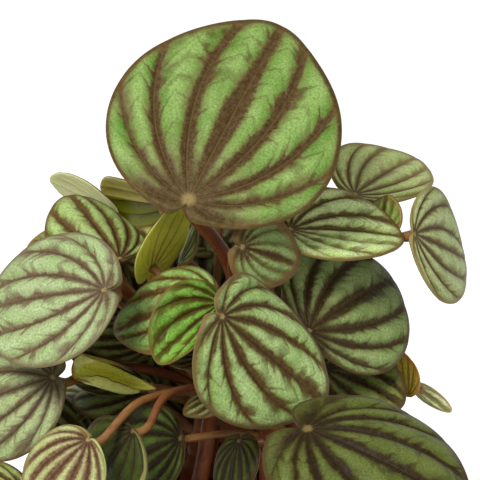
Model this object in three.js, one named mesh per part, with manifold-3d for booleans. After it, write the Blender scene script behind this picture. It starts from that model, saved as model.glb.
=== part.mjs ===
// Potted peperomia: a bushy house plant with round striped leaves on fleshy red-brown stalks,
// standing in a plain tapered pot of potting soil.
// Millimetres, +Z up. The origin is the centre of the pot's flat underside.
// The viewer of the photograph looks along +Y, a little downwards, with +X to the right.

import * as THREE from 'three';
import { mergeVertices } from 'three/addons/utils/BufferGeometryUtils.js';
import Module from 'manifold-3d';

const wasm = await Module();
wasm.setup();

// Pot
const POT_HEIGHT = 90;
const POT_TOP_RADIUS = 52;
const POT_BASE_RADIUS = 38;
const POT_WALL = 2.4;
const POT_FLOOR = 3;
const RIM_HEIGHT = 15;
const RIM_OVERHANG = 3;
const POT_SIDES = 36;
const DRAIN_COUNT = 6;
const DRAIN_RADIUS = 4;
const DRAIN_RING_RADIUS = 25;

// Soil
const SOIL_TOP = 79;
const SOIL_DOME = 2.5;
const CLEARANCE = 0.3;

// Leafy stems
const STEM_FOOT = 62;
const STEM_RADIUS = 2.4;
const STEM_SIDES = 8;
const STEM_STEPS = 6;
const PETIOLE_SIDES = 5;
const PETIOLE_STEPS = 5;

// Blades
const BLADE_THICKNESS = 0.9;
const EGG = 0.1;
const TIP_LENGTH = 0.05;
const TIP_SPREAD = 0.22;
const NOTCH_DEPTH = 0.72;
const NOTCH_SPREAD = 0.34;
const RIDGE_ROUNDING = 0.06;
const STALK_INSET = 0.8;

const COLOURS = {
  pot: 0x9c5535,
  soil: 0x2b211a,
  stem: 0x7a3f24,
  leaf: 0x7f9f62,
  young: 0x8fae4a,
};

const radians = THREE.MathUtils.degToRad;

// Each leafy stem: the point where it leaves the soil and the point where its crown ends.
const STEMS = {
  stem_middle: { foot: [0, 4], crown: [-3, 1, 134] },
  stem_left: { foot: [-20, 2], crown: [-12, -2, 126] },
  stem_right: { foot: [19, 2], crown: [10, 1, 128] },
  stem_front: { foot: [6, -21], crown: [4, -14, 120] },
  stem_front_left: { foot: [-19, -21], crown: [-10, -12, 128] },
  stem_back_left: { foot: [-12, 22], crown: [-11, 14, 126] },
  stem_back_right: { foot: [12, 22], crown: [9, 15, 124] },
};

// Each leaf seen in the photograph. at: where the stalk meets the blade. heading: compass direction
// of the midrib, 0 along +X and 90 along +Y. rise: its slope. roll: the turn about it.
// droop, cup and fold: how far the blade bends down to its tip, curls up at its sides and folds
// along its midrib. lobe: how far it reaches behind the stalk, as a share of its length.
// from: the height at which the stalk leaves its stem. via: points that the stalk passes.
// lean: how much the stalk comes in along the blade rather than square onto it.
// egg: how much broader the blade is towards the stalk, where it isn't EGG.
const LEAVES = [
  { name: 'leaf_top', stem: 'stem_middle', at: [-17, -15, 186], heading: 60, rise: 34, roll: -17,
    length: 61, width: 65, droop: 8, cup: 2, lobe: 0.1, stalk: 2, from: 132, via: [[-6, -5, 162]] },
  { name: 'leaf_left_large', stem: 'stem_left', at: [-40, -24, 163], heading: 161, rise: -20, roll: 35,
    length: 41, width: 42, droop: 27, cup: -10, lobe: 0.12, from: 124,
    via: [[-20, 3, 135], [-30, 2, 144], [-37, -7, 156]], lean: 0.8 },
  { name: 'leaf_left_upper', stem: 'stem_left', at: [-37, 2, 160], heading: 127, rise: 20, roll: 4,
    length: 29, width: 31, droop: 15, cup: -40, lobe: 0.05, from: 125 },
  { name: 'leaf_left_pale', stem: 'stem_back_left', at: [-40, 34, 160], heading: 146, rise: 12,
    roll: -58, length: 23, width: 24, droop: 12, cup: -10, lobe: 0.14, from: 124 },
  { name: 'leaf_left_tucked', stem: 'stem_left', at: [-47, 17, 151], heading: -162, rise: 23, roll: 34,
    length: 19, width: 20, droop: 24, cup: 13, lobe: 0.15, from: 120, via: [[-30, 2, 140]] },
  { name: 'leaf_under_top_left', stem: 'stem_back_left', at: [-23.5, 22, 167.5], heading: 142, rise: -7,
    roll: -62, length: 25, width: 26, droop: 4, cup: -30, lobe: 0.14, from: 131, start: 124, lean: 1.2,
    via: [[-15, 23, 141]] },
  { name: 'leaf_upright', stem: 'stem_middle', at: [-28.5, 4, 155.8], heading: 14, rise: 65, roll: 49,
    length: 23, width: 22, droop: 7, cup: -8, lobe: 0.2, from: 124 },
  { name: 'leaf_behind_upright', stem: 'stem_back_left', at: [-26, 15, 153], heading: 125, rise: 9,
    roll: 53, length: 15.5, width: 17, droop: 11, cup: -5, lobe: 0.14, from: 118 },
  { name: 'leaf_beside_upright', stem: 'stem_middle', at: [-19.5, 11, 154.7], heading: 59, rise: 52,
    roll: 44, length: 12, width: 12, droop: 5, cup: -20, lobe: 0.16, from: 129 },
  { name: 'leaf_centre', stem: 'stem_front', at: [-8, -44, 165], heading: 12, rise: -45, roll: -50,
    length: 41, width: 43, droop: -6, cup: -36, lobe: 0.12, from: 119, via: [[4, -34, 154]] },
  { name: 'leaf_centre_left', stem: 'stem_left', at: [-10, -16, 157], heading: 170, rise: -24, roll: 27,
    length: 31, width: 30, droop: 25, cup: -10, lobe: 0.05, from: 125 },
  { name: 'leaf_young_bright', stem: 'stem_front_left', at: [-8, -22, 158], heading: -145, rise: -29,
    roll: 18, length: 25, width: 24, droop: 21, cup: 16, fold: 35, lobe: 0.1, young: true, from: 127,
    via: [[-4, -18, 148]] },
  { name: 'leaf_below_centre_left', stem: 'stem_front_left', at: [-12.5, -19, 139.5], heading: -175,
    rise: 0, roll: 11, length: 11, width: 10, droop: 10, cup: -8, lobe: 0.16, from: 120 },
  { name: 'leaf_centre_small', stem: 'stem_middle', at: [-2.5, -19.5, 174], heading: 18, rise: -24,
    roll: -66, length: 18.5, width: 20.5, droop: 17, cup: -5, lobe: 0.2, from: 133 },
  { name: 'leaf_right_folded', stem: 'stem_right', at: [11, 0, 170], heading: 9, rise: -9, roll: -15,
    length: 33, width: 34, droop: 17, cup: -15, fold: 18, lobe: 0.15, from: 127, via: [[5, 5, 156]] },
  { name: 'leaf_upper_right', stem: 'stem_back_right', at: [30, 24, 170], heading: 56, rise: 0,
    roll: -12, length: 32, width: 31, droop: 14, cup: 22, lobe: 0.04, from: 123,
    via: [[13, 22, 158], [21, 26, 168]] },
  { name: 'leaf_behind_right_folded', stem: 'stem_back_right', at: [36.8, 11.5, 163.6], heading: 67,
    rise: 56, roll: 7, length: 11.5, width: 12, droop: 15, cup: -4, lobe: 0.15, from: 123,
    via: [[23, 25, 149], [33, 20, 159]] },
  { name: 'leaf_far_right', stem: 'stem_back_right', at: [46, 7, 165.5], heading: 51, rise: -36,
    roll: -63, length: 33, width: 34, droop: 18, cup: 5, lobe: 0.05, from: 122,
    via: [[28, 24, 149], [41, 15, 158]] },
  { name: 'leaf_right_round', stem: 'stem_right', at: [16, -17, 147], heading: 54, rise: 2, roll: -43,
    length: 42, width: 44, droop: 20, cup: -9, lobe: 0.05, from: 122 },
  { name: 'leaf_right_lower', stem: 'stem_right', at: [21, -4, 128], heading: -31, rise: -11, roll: -19,
    length: 26, width: 27, droop: 26, cup: 0, lobe: 0.16, from: 112 },
  { name: 'leaf_right_turned', stem: 'stem_right', at: [45.8, 3, 116.4], heading: 114, rise: 65,
    roll: 82, length: 12.5, width: 13, droop: 16, cup: -11, lobe: 0.06, from: 106, via: [[38, 9, 112]] },
  { name: 'leaf_right_narrow', stem: 'stem_right', at: [47.8, 10.5, 115.2], heading: -14, rise: -32,
    roll: -55, length: 13, width: 4.8, droop: 20, cup: 20, lobe: 0.1, young: true, from: 103 },
  { name: 'leaf_front_right_large', stem: 'stem_front', at: [15, -61, 140], heading: -33, rise: -12,
    roll: -16, length: 49, width: 49, droop: 25, cup: -30, lobe: 0.2, from: 114 },
  { name: 'leaf_front_young', stem: 'stem_front', at: [-3, -35, 122], heading: -102, rise: -52,
    roll: -39, length: 18, width: 19, droop: 23, cup: -7, lobe: 0.15, young: true, from: 108, lean: 0.8 },
  { name: 'leaf_below_centre', stem: 'stem_front', at: [-7.5, -26, 132], heading: -160, rise: -20,
    roll: 10, length: 12.5, width: 11.5, droop: 20, cup: -15, lobe: 0.16, from: 117 },
  { name: 'leaf_front_left_inner', stem: 'stem_front', at: [-19.5, -24, 117], heading: 146, rise: -35,
    roll: 63, length: 24.5, width: 25.5, droop: 25, cup: 6, lobe: 0.04, from: 112, lean: 0.8 },
  { name: 'leaf_front_left_middle', stem: 'stem_front_left', at: [-32, -38, 127], heading: 173,
    rise: -62, roll: 48, length: 25, width: 26, droop: 28, cup: -5, lobe: 0.02, from: 128,
    via: [[-24, -27, 131.5]], lean: 1.2 },
  { name: 'leaf_front_left_outer', stem: 'stem_front_left', at: [-44, -45, 128], heading: -158,
    rise: -45, roll: 24, length: 26, width: 27, droop: 23, cup: -25, lobe: 0.06, from: 127,
    via: [[-31, -31, 132]], lean: 1.2 },
  { name: 'leaf_left_low_large', stem: 'stem_left', at: [-55, -20, 134], heading: 167, rise: -28,
    roll: 39, length: 38, width: 39, droop: 17, cup: -16, lobe: 0.11, from: 121,
    via: [[-31, -1, 127], [-46, -11, 131]], lean: 0.8 },
  { name: 'leaf_left_lowest', stem: 'stem_front_left', at: [-62, -46, 109.5], heading: -176, rise: 7,
    roll: 13, length: 25, width: 26, droop: 38, cup: 5, lobe: 0.11, from: 94, via: [[-40, -30, 93]] },
  { name: 'leaf_young_curled', stem: 'stem_left', at: [-27, -17, 129], heading: 174, rise: 15, roll: 62,
    length: 24, width: 12.5, droop: 5, cup: 95, lobe: 0.03, young: true, from: 116, egg: -0.9 },
  { name: 'leaf_left_inner', stem: 'stem_left', at: [-28, 2, 134], heading: 172, rise: -2, roll: 25,
    length: 20, width: 16, droop: 20, cup: -10, lobe: 0.14, from: 119 },
  { name: 'leaf_left_shaded', stem: 'stem_left', at: [-27, 3, 118], heading: 176, rise: -12, roll: 8,
    length: 25, width: 25, droop: 20, cup: -15, lobe: 0.16, from: 104 },
];

// Leaves on the sides that the photograph doesn't show, in tiers round the plant.
const TIERS = [
  { name: 'leaf_back_upper', first: 78, step: 30, count: 2, radius: 34, height: 143, lift: 6,
    rise: 8, length: 29, from: 120 },
  { name: 'leaf_back_middle', first: 54, step: 31, count: 4, radius: 38, height: 130, lift: 7,
    rise: -28, length: 29, from: 110 },
  { name: 'leaf_back_lower', first: 60, step: 36, count: 4, radius: 48, height: 106, lift: 6,
    rise: -30, length: 29, from: 94 },
  { name: 'leaf_front_lowest', first: 238, step: 30, count: 4, radius: 46, height: 97, lift: 5,
    rise: -24, length: 27, from: 90 },
  { name: 'leaf_back_high', first: 84, step: 20, count: 2, radius: 33, height: 165, lift: 5,
    rise: -4, length: 28, from: 123 },
];

// A repeatable number from 0 to 1 for item i and use k.
function chance(i, k) {
  const wave = Math.sin(i * 12.9898 + k * 78.233) * 43758.5453;
  return wave - Math.floor(wave);
}

function nearestStem(azimuth) {
  const [x, y] = [Math.cos(radians(azimuth)), Math.sin(radians(azimuth))];
  const reach = ([, stem]) => x * stem.foot[0] + y * stem.foot[1];
  return Object.entries(STEMS).sort((a, b) => reach(b) - reach(a))[0][0];
}

function tierLeaves(tier, t) {
  return Array.from({ length: tier.count }, (_, i) => {
    const seed = t * 10 + i + 1;
    const azimuth = tier.first + i * tier.step + 6 * (chance(seed, 1) - 0.5);
    const size = tier.length * (0.92 + 0.16 * chance(seed, 2));
    return {
      name: `${tier.name}_${i + 1}`,
      stem: nearestStem(azimuth),
      at: [
        tier.radius * Math.cos(radians(azimuth)),
        tier.radius * Math.sin(radians(azimuth)),
        tier.height + (i % 2) * tier.lift,
      ],
      heading: azimuth + 16 * (chance(seed, 3) - 0.5),
      rise: tier.rise + 8 * (chance(seed, 4) - 0.5),
      roll: 16 * (chance(seed, 5) - 0.5),
      length: size,
      width: size * 1.03,
      droop: 24,
      cup: -12,
      lobe: 0.14,
      from: tier.from,
    };
  });
}

// Outline point of a blade at the parameter angle phi, with the stalk at 0, 0 and the tip along +Y.
function outlinePoint(leaf, phi) {
  const long = leaf.length / (1 + TIP_LENGTH);
  const halfLong = (long + leaf.lobe * leaf.length) / 2;
  const middle = (long - leaf.lobe * leaf.length) / 2;
  const x = (leaf.width / 2) * Math.sin(phi) * (1 - (leaf.egg ?? EGG) * Math.cos(phi));
  const y = middle + halfLong * Math.cos(phi);
  const turn = Math.abs(Math.atan2(x, y));
  const tip = 1 + TIP_LENGTH * Math.exp(-((turn / TIP_SPREAD) ** 2));
  const notch = 1 - NOTCH_DEPTH * Math.exp(-(((Math.PI - turn) / NOTCH_SPREAD) ** 2));
  return [x * tip * notch, y * tip * notch];
}

// A flat blade point bent by the leaf's cup, fold and droop.
function bend(leaf, x, y) {
  const half = leaf.width / 2;
  const cup = radians(leaf.cup || 0.01);
  const fold = radians(leaf.fold || 0);
  const curve = radians(leaf.droop || 0.01) / leaf.length;
  const round = RIDGE_ROUNDING * leaf.width;
  const side = (half / cup) * Math.sin((cup * x) / half) * Math.cos(fold);
  const ridge = Math.sqrt(x * x + round * round) - round;
  const height = (half / cup) * (1 - Math.cos((cup * x) / half)) + ridge * Math.sin(fold);
  const turn = curve * y;
  return new THREE.Vector3(
    side,
    Math.sin(turn) / curve + height * Math.sin(turn),
    (Math.cos(turn) - 1) / curve + height * Math.cos(turn),
  );
}

function bladeNormal(leaf, x, y) {
  const step = 0.05;
  const across = bend(leaf, x + step, y).sub(bend(leaf, x - step, y));
  const along = bend(leaf, x, y + step).sub(bend(leaf, x, y - step));
  return across.cross(along).normalize();
}

// The blade's own axes: X to its right, Y along the midrib at the stalk, Z out of its upper face.
function bladeAxes(leaf) {
  const [heading, rise, roll] = [leaf.heading, leaf.rise, leaf.roll].map(radians);
  const midrib = new THREE.Vector3(
    Math.cos(heading) * Math.cos(rise),
    Math.sin(heading) * Math.cos(rise),
    Math.sin(rise),
  );
  const level = new THREE.Vector3(Math.sin(heading), -Math.cos(heading), 0);
  const up = level.clone().cross(midrib);
  const right = level.clone().multiplyScalar(Math.cos(roll)).addScaledVector(up, Math.sin(roll));
  const face = right.clone().cross(midrib);
  const back = radians(leaf.droop || 0) / 2;
  const along = midrib.clone().multiplyScalar(Math.cos(back)).addScaledVector(face, Math.sin(back));
  return { right, along, face: right.clone().cross(along) };
}

// A closed blade: the same fan of spokes and rings on the upper and the under face, and a rim.
function bladeGeometry(leaf) {
  const spokes = leaf.length > 50 ? 24 : leaf.length > 27 ? 16 : 14;
  const rings = leaf.length > 50 ? 4 : 3;
  const flat = [[0, 0]];
  for (let ring = 1; ring <= rings; ring += 1) {
    for (let spoke = 0; spoke < spokes; spoke += 1) {
      const [x, y] = outlinePoint(leaf, (2 * Math.PI * spoke) / spokes);
      flat.push([(x * ring) / rings, (y * ring) / rings]);
    }
  }
  const positions = [];
  for (const side of [1, -1]) {
    for (const [x, y] of flat) {
      const point = bend(leaf, x, y);
      point.addScaledVector(bladeNormal(leaf, x, y), (side * BLADE_THICKNESS) / 2);
      positions.push(point.x, point.y, point.z);
    }
  }
  const under = flat.length;
  const at = (ring, spoke) => 1 + (ring - 1) * spokes + (spoke % spokes);
  const faces = [];
  for (let spoke = 0; spoke < spokes; spoke += 1) {
    faces.push([0, at(1, spoke + 1), at(1, spoke)]);
    for (let ring = 1; ring < rings; ring += 1) {
      const [a, b] = [at(ring, spoke), at(ring, spoke + 1)];
      const [c, d] = [at(ring + 1, spoke), at(ring + 1, spoke + 1)];
      faces.push([a, b, d], [a, d, c]);
    }
  }
  const index = [];
  for (const [a, b, c] of faces) {
    index.push(a, b, c, under + a, under + c, under + b);
  }
  for (let spoke = 0; spoke < spokes; spoke += 1) {
    const [a, b] = [at(rings, spoke), at(rings, spoke + 1)];
    index.push(a, b, under + b, a, under + b, under + a);
  }
  const geometry = new THREE.BufferGeometry();
  geometry.setAttribute('position', new THREE.Float32BufferAttribute(positions, 3));
  geometry.setIndex(index);
  return geometry;
}

function material(colour, roughness) {
  return new THREE.MeshStandardMaterial({ color: colour, roughness, metalness: 0 });
}

function namedMesh(name, geometry, colour, roughness) {
  geometry.computeVertexNormals();
  const mesh = new THREE.Mesh(geometry, material(colour, roughness));
  mesh.name = name;
  return mesh;
}

// A geometry as a solid for cutting and joining, and a solid back as a geometry.
function solid(geometry) {
  const bare = geometry.clone();
  bare.deleteAttribute('normal');
  bare.deleteAttribute('uv');
  const merged = mergeVertices(bare, 1e-4);
  return new wasm.Manifold(new wasm.Mesh({
    numProp: 3,
    vertProperties: new Float32Array(merged.attributes.position.array),
    triVerts: new Uint32Array(merged.index.array),
  }));
}

function geometryOf(body) {
  const mesh = body.getMesh();
  const geometry = new THREE.BufferGeometry();
  geometry.setAttribute('position', new THREE.Float32BufferAttribute(mesh.vertProperties, 3));
  geometry.setIndex(Array.from(mesh.triVerts));
  return geometry;
}

function polygon(radius, sides) {
  const corner = (i) => (2 * Math.PI * (i + 0.5)) / sides;
  return new THREE.Shape(Array.from({ length: sides }, (_, i) => (
    new THREE.Vector2(radius * Math.cos(corner(i)), radius * Math.sin(corner(i)))
  )));
}

function tube(curve, radius, sides, steps) {
  return new THREE.ExtrudeGeometry(polygon(radius, sides), { steps, bevelEnabled: false, extrudePath: curve });
}

// A stem's path: straight up out of the soil, then in a slow bow to its crown.
function stemCurve(stem) {
  const [x, y] = stem.foot;
  const [cx, cy, cz] = stem.crown;
  return new THREE.CatmullRomCurve3([
    new THREE.Vector3(x, y, STEM_FOOT),
    new THREE.Vector3(x, y, (STEM_FOOT + SOIL_TOP) / 2),
    new THREE.Vector3(x, y, SOIL_TOP + 2),
    new THREE.Vector3(cx + (x - cx) * 0.4, cy + (y - cy) * 0.4, SOIL_TOP + (cz - SOIL_TOP) * 0.5),
    new THREE.Vector3(cx, cy, cz),
  ]);
}

// The point of a stem at a given height.
function stemPoint(stem, height) {
  const curve = stemCurve(stem);
  let [low, high] = [0, 1];
  for (let i = 0; i < 24; i += 1) {
    const half = (low + high) / 2;
    if (curve.getPoint(half).z < height) low = half; else high = half;
  }
  return curve.getPoint(low);
}

// The stalk's path: out of the stem, up in an arch or through a given point, and onto the blade's
// under face.
function petioleCurve(leaf) {
  const { along, face } = bladeAxes(leaf);
  const stalk = leaf.stalk || (leaf.length > 30 ? 1.4 : 1.15);
  const steps = PETIOLE_STEPS + 2 * (leaf.via || []).length;
  const lean = leaf.lean || 0.25;
  const arrive = face.clone().addScaledVector(along, lean).normalize();
  const tilt = lean / Math.hypot(1, lean);
  const end = new THREE.Vector3(...leaf.at)
    .addScaledVector(along, STALK_INSET)
    .addScaledVector(face, -(BLADE_THICKNESS / 2 + CLEARANCE + tilt * stalk));
  const start = stemPoint(STEMS[leaf.stem], leaf.from);
  if (leaf.via) {
    const before = end.clone().addScaledVector(arrive, -4);
    const curve = new THREE.CatmullRomCurve3([
      start, ...leaf.via.map((point) => new THREE.Vector3(...point)), before, end,
    ]);
    return { curve, stalk, steps };
  }
  const reach = end.distanceTo(start);
  const leave = end.clone().sub(start).normalize();
  leave.z += 0.5;
  leave.normalize();
  const curve = new THREE.CubicBezierCurve3(
    start,
    start.clone().addScaledVector(leave, reach * 0.35),
    end.clone().addScaledVector(arrive, -reach * 0.3),
    end,
  );
  return { curve, stalk, steps };
}

const allLeaves = [...LEAVES, ...TIERS.flatMap(tierLeaves)];
const plant = new THREE.Group();
plant.name = 'potted_peperomia';

// Blades
for (const leaf of allLeaves) {
  const { right, along, face } = bladeAxes(leaf);
  const mesh = namedMesh(leaf.name, bladeGeometry(leaf), leaf.young ? COLOURS.young : COLOURS.leaf, 0.45);
  mesh.position.set(...leaf.at);
  mesh.quaternion.setFromRotationMatrix(new THREE.Matrix4().makeBasis(right, along, face));
  plant.add(mesh);
}

// Stems with their petioles
for (const [name, stem] of Object.entries(STEMS)) {
  let body = solid(tube(stemCurve(stem), STEM_RADIUS, STEM_SIDES, STEM_STEPS));
  const bud = new THREE.IcosahedronGeometry(STEM_RADIUS * 1.25, 1);
  bud.translate(...stem.crown);
  body = body.add(solid(bud));
  for (const leaf of allLeaves.filter((each) => each.stem === name)) {
    const { curve, stalk, steps } = petioleCurve(leaf);
    body = body.add(solid(tube(curve, stalk, PETIOLE_SIDES, steps)));
  }
  plant.add(namedMesh(name, geometryOf(body), COLOURS.stem, 0.5));
}

// Pot, with drain holes round the middle of its floor
const wallSlope = (POT_TOP_RADIUS - POT_BASE_RADIUS) / POT_HEIGHT;
const innerRadius = (z) => POT_BASE_RADIUS + wallSlope * z - POT_WALL;
const rimFoot = POT_HEIGHT - RIM_HEIGHT;
const potProfile = [
  [0, 0],
  [POT_BASE_RADIUS - 1, 0],
  [POT_BASE_RADIUS, 1],
  [POT_BASE_RADIUS + wallSlope * rimFoot, rimFoot],
  [POT_TOP_RADIUS + RIM_OVERHANG - 1, rimFoot + 0.5],
  [POT_TOP_RADIUS + RIM_OVERHANG, rimFoot + 2],
  [POT_TOP_RADIUS + RIM_OVERHANG, POT_HEIGHT - 1],
  [POT_TOP_RADIUS + RIM_OVERHANG - 1, POT_HEIGHT],
  [innerRadius(POT_HEIGHT) + 0.8, POT_HEIGHT],
  [innerRadius(POT_HEIGHT), POT_HEIGHT - 0.8],
  [innerRadius(POT_FLOOR), POT_FLOOR],
  [0, POT_FLOOR],
].map(([r, z]) => new THREE.Vector2(r, z));
const potShell = new THREE.LatheGeometry(potProfile, POT_SIDES);
potShell.rotateX(Math.PI / 2);
let pot = solid(potShell);
for (let i = 0; i < DRAIN_COUNT; i += 1) {
  const turn = (2 * Math.PI * i) / DRAIN_COUNT;
  const drain = new THREE.CylinderGeometry(DRAIN_RADIUS, DRAIN_RADIUS, 4 * POT_FLOOR, 12);
  drain.rotateX(Math.PI / 2);
  drain.translate(DRAIN_RING_RADIUS * Math.cos(turn), DRAIN_RING_RADIUS * Math.sin(turn), 0);
  pot = pot.subtract(solid(drain));
}
plant.add(namedMesh('pot', geometryOf(pot), COLOURS.pot, 0.6));

// Soil, with a plain hole for each stem
const soilProfile = [
  [0, POT_FLOOR + CLEARANCE],
  [innerRadius(POT_FLOOR) - CLEARANCE, POT_FLOOR + CLEARANCE],
  [innerRadius(SOIL_TOP - SOIL_DOME) - CLEARANCE, SOIL_TOP - SOIL_DOME],
  [innerRadius(SOIL_TOP) * 0.6, SOIL_TOP - SOIL_DOME * 0.3],
  [0, SOIL_TOP],
].map(([r, z]) => new THREE.Vector2(r, z));
const soilMass = new THREE.LatheGeometry(soilProfile, POT_SIDES);
soilMass.rotateX(Math.PI / 2);
let soil = solid(soilMass);
for (const stem of Object.values(STEMS)) {
  const hole = new THREE.CylinderGeometry(STEM_RADIUS + 2 * CLEARANCE, STEM_RADIUS + 2 * CLEARANCE, 40, 12);
  hole.rotateX(Math.PI / 2);
  hole.translate(stem.foot[0], stem.foot[1], STEM_FOOT - CLEARANCE + 20);
  soil = soil.subtract(solid(hole));
}
plant.add(namedMesh('soil', geometryOf(soil), COLOURS.soil, 0.95));

export default plant;
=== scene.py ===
# Looks of the potted peperomia: fine striped leaf blades, fleshy stalks, soil and pot.
# Sizes below are in millimetres unless a name says otherwise; Blender objects are in metres.
# The viewer of the photograph looks along +Y, a little downwards, with +X to the right.

import math
from types import SimpleNamespace

import bpy
import numpy as np
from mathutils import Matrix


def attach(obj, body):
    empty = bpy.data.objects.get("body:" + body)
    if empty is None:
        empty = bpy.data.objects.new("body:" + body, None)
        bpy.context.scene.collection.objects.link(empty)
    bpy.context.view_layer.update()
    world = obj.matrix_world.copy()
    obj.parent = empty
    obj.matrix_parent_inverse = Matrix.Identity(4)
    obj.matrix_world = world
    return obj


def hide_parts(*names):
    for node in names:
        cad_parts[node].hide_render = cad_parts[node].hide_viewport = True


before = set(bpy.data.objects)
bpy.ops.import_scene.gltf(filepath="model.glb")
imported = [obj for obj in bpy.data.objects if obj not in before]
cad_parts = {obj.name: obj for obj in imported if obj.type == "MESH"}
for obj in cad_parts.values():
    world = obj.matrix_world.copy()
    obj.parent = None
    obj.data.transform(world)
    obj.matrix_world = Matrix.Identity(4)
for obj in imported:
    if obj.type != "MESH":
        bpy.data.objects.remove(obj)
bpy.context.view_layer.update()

MM = 0.001

# Camera, worked out from the photograph
CAMERA_ELEVATION = 25.0
CAMERA_TARGET = (-3.0, 0.0, 167.0)
CAMERA_DISTANCE = 800.0
FRAME_WIDTH = 134.4

# Floor, wall and lamps, in metres and watts: each lamp's name, place, size, power and colour
FLOOR_HALF_WIDTH = 6.0
FLOOR_FRONT = -4.0
FLOOR_BACK = 4.0
FLOOR_BEND = 1.0
WALL_HEIGHT = 3.0
FLOOR_GLOW = 0.5
WORLD_LIGHT = 0.37
LIGHT_AIM = (0.0, 0.0, 0.14)
LIGHTS = (
    ("key", (-0.5, -0.55, 1.05), 0.5, 10.2, (1.0, 0.975, 0.93)),
    ("fill", (0.8, -0.7, 0.5), 0.9, 1.9, (1.0, 0.98, 0.95)),
)

# Pot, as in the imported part
POT_HEIGHT = 90.0
POT_TOP_RADIUS = 52.0
POT_BASE_RADIUS = 38.0
POT_SLOPE = (POT_TOP_RADIUS - POT_BASE_RADIUS) / POT_HEIGHT
POT_WALL = 2.4
POT_FLOOR = 3.0
RIM_HEIGHT = 15.0
RIM_OVERHANG = 3.0
DRAIN_COUNT = 6
DRAIN_RADIUS = 4.0
DRAIN_RING_RADIUS = 25.0
POT_COLUMNS = 120
DRAIN_COLUMNS = 32
POT_ROUNDING = 0.9
SHARP_EDGE_DEGREES = 50

# Radius of the innermost ring of a turned shape, whose end is closed by a point
AXIS = 0.02

# Soil. Its lumps are crumbs, white grains and bark: how many, from which size to which, and shape
SOIL_TOP = 79.0
SOIL_DOME = 2.5
CLEARANCE = 0.3
SOIL_COLUMNS = 144
SOIL_WAVES = 26
SOIL_LUMPS = (
    (620, 0.5, 1.5, (1, 0.9, 0.8)),
    (90, 0.45, 1.15, (1, 0.9, 0.8)),
    (70, 1.2, 2.6, (1, 0.55, 0.28)),
)

# Leafy stems and stalks. STALK_INSET: how far a stalk meets its blade from the notch, STALK_SUNK:
# how far its end reaches into the blade, STALK_LEAN: how far it leans towards the blade's tip.
# STEM_TAPER, FOOT_SWELL, END_SWELL and STALK_GROOVE are shares of the radius.
STEM_FOOT = 62.0
STEM_RADIUS = 2.4
STEM_ROWS = 64
STEM_COLUMNS = 20
STEM_TAPER = 0.12
RING_HEIGHT = 0.35
RING_SPREAD = 1.6
LARGE_STALK_RADIUS = 1.4
SMALL_STALK_RADIUS = 1.15
LARGE_LEAF = 30
STALK_LEAN = 0.25
FOOT_SWELL = 0.28
END_SWELL = 0.35
STALK_GROOVE = 0.07
STALK_COLUMNS = 14
STALK_ROWS = 30
STALK_INSET = 0.8
STALK_SUNK = 0.45
BUD_LENGTH = 5.5
BUD_RADIUS = 1.5

# Outline and grid of the blades. Blades over LONG_BLADE get twice the columns
BLADE_THICKNESS = 0.9
RIM_THICKNESS = 0.5
EGG = 0.1
TIP_LENGTH = 0.05
TIP_SPREAD = 0.22
NOTCH_DEPTH = 0.72
NOTCH_SPREAD = 0.34
RIDGE_ROUNDING = 0.06
LEAST_BEND = 0.01
OUTLINE_POINTS = 1441
BLADE_RINGS = 30
LONG_BLADE = 50.0
CELL_COLUMNS = (10, 10, 10, 9, 11)

# Relief of the blades. PILLOW_HEIGHT and MARGIN_WAVE are shares of the length, QUILT_DEPTH and
# STALK_DIMPLE of the pillows' height. QUILT_LINE is the half width of the furrows over side veins.
# The relief fades within CALM_MIDDLE and beyond CALM_MARGIN, shares of the way to the margin.
PILLOW_HEIGHT = 0.022
QUILT_DEPTH = 0.05
MARGIN_WAVE = 0.012
STALK_DIMPLE = 0.0525
QUILT_LINE = 0.9
CALM_MIDDLE = 0.3
CALM_MARGIN = 0.7
SIDE_VEIN_SHARE = 0.12
SIDE_VEIN_LEAN = 0.85

# Main veins of one half blade: direction at the stalk in degrees, and how far and how late
# they bend towards the tip. The last one is the notch behind the stalk.
VEINS = (
    (0.0, 0.0, 1.0), (29.0, 0.6, 1.7), (57.0, 0.47, 1.5), (84.0, 0.36, 1.4), (118.0, 0.24, 1.4),
    (180.0, 0.0, 1.0),
)

# How many degrees a main vein may stray, the distance that stands for no vein along the notch, and
# how far apart the leaves lie in the noise of their pattern
VEIN_STRAY = 3.0
NO_VEIN = 8.0
PATTERN_STEP = 37.0

# Rolled margins of the young curled leaf: start and end round its outline in radians, radius in
# millimetres, how far out on the blade they lie, and whether they have a reddish edge line
YOUNG_ROLLS = ((-0.3, -2.2, 1.7, 0.9, 1.0), (-0.25, 0.9, 1.5, 0.93, 0.0))

# Each leafy stem: where it leaves the soil and where its crown ends
STEMS = {
    "stem_middle": ((0, 4), (-3, 1, 134)),
    "stem_left": ((-20, 2), (-12, -2, 126)),
    "stem_right": ((19, 2), (10, 1, 128)),
    "stem_front": ((6, -21), (4, -14, 120)),
    "stem_front_left": ((-19, -21), (-10, -12, 128)),
    "stem_back_left": ((-12, 22), (-11, 14, 126)),
    "stem_back_right": ((12, 22), (9, 15, 124)),
}

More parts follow.
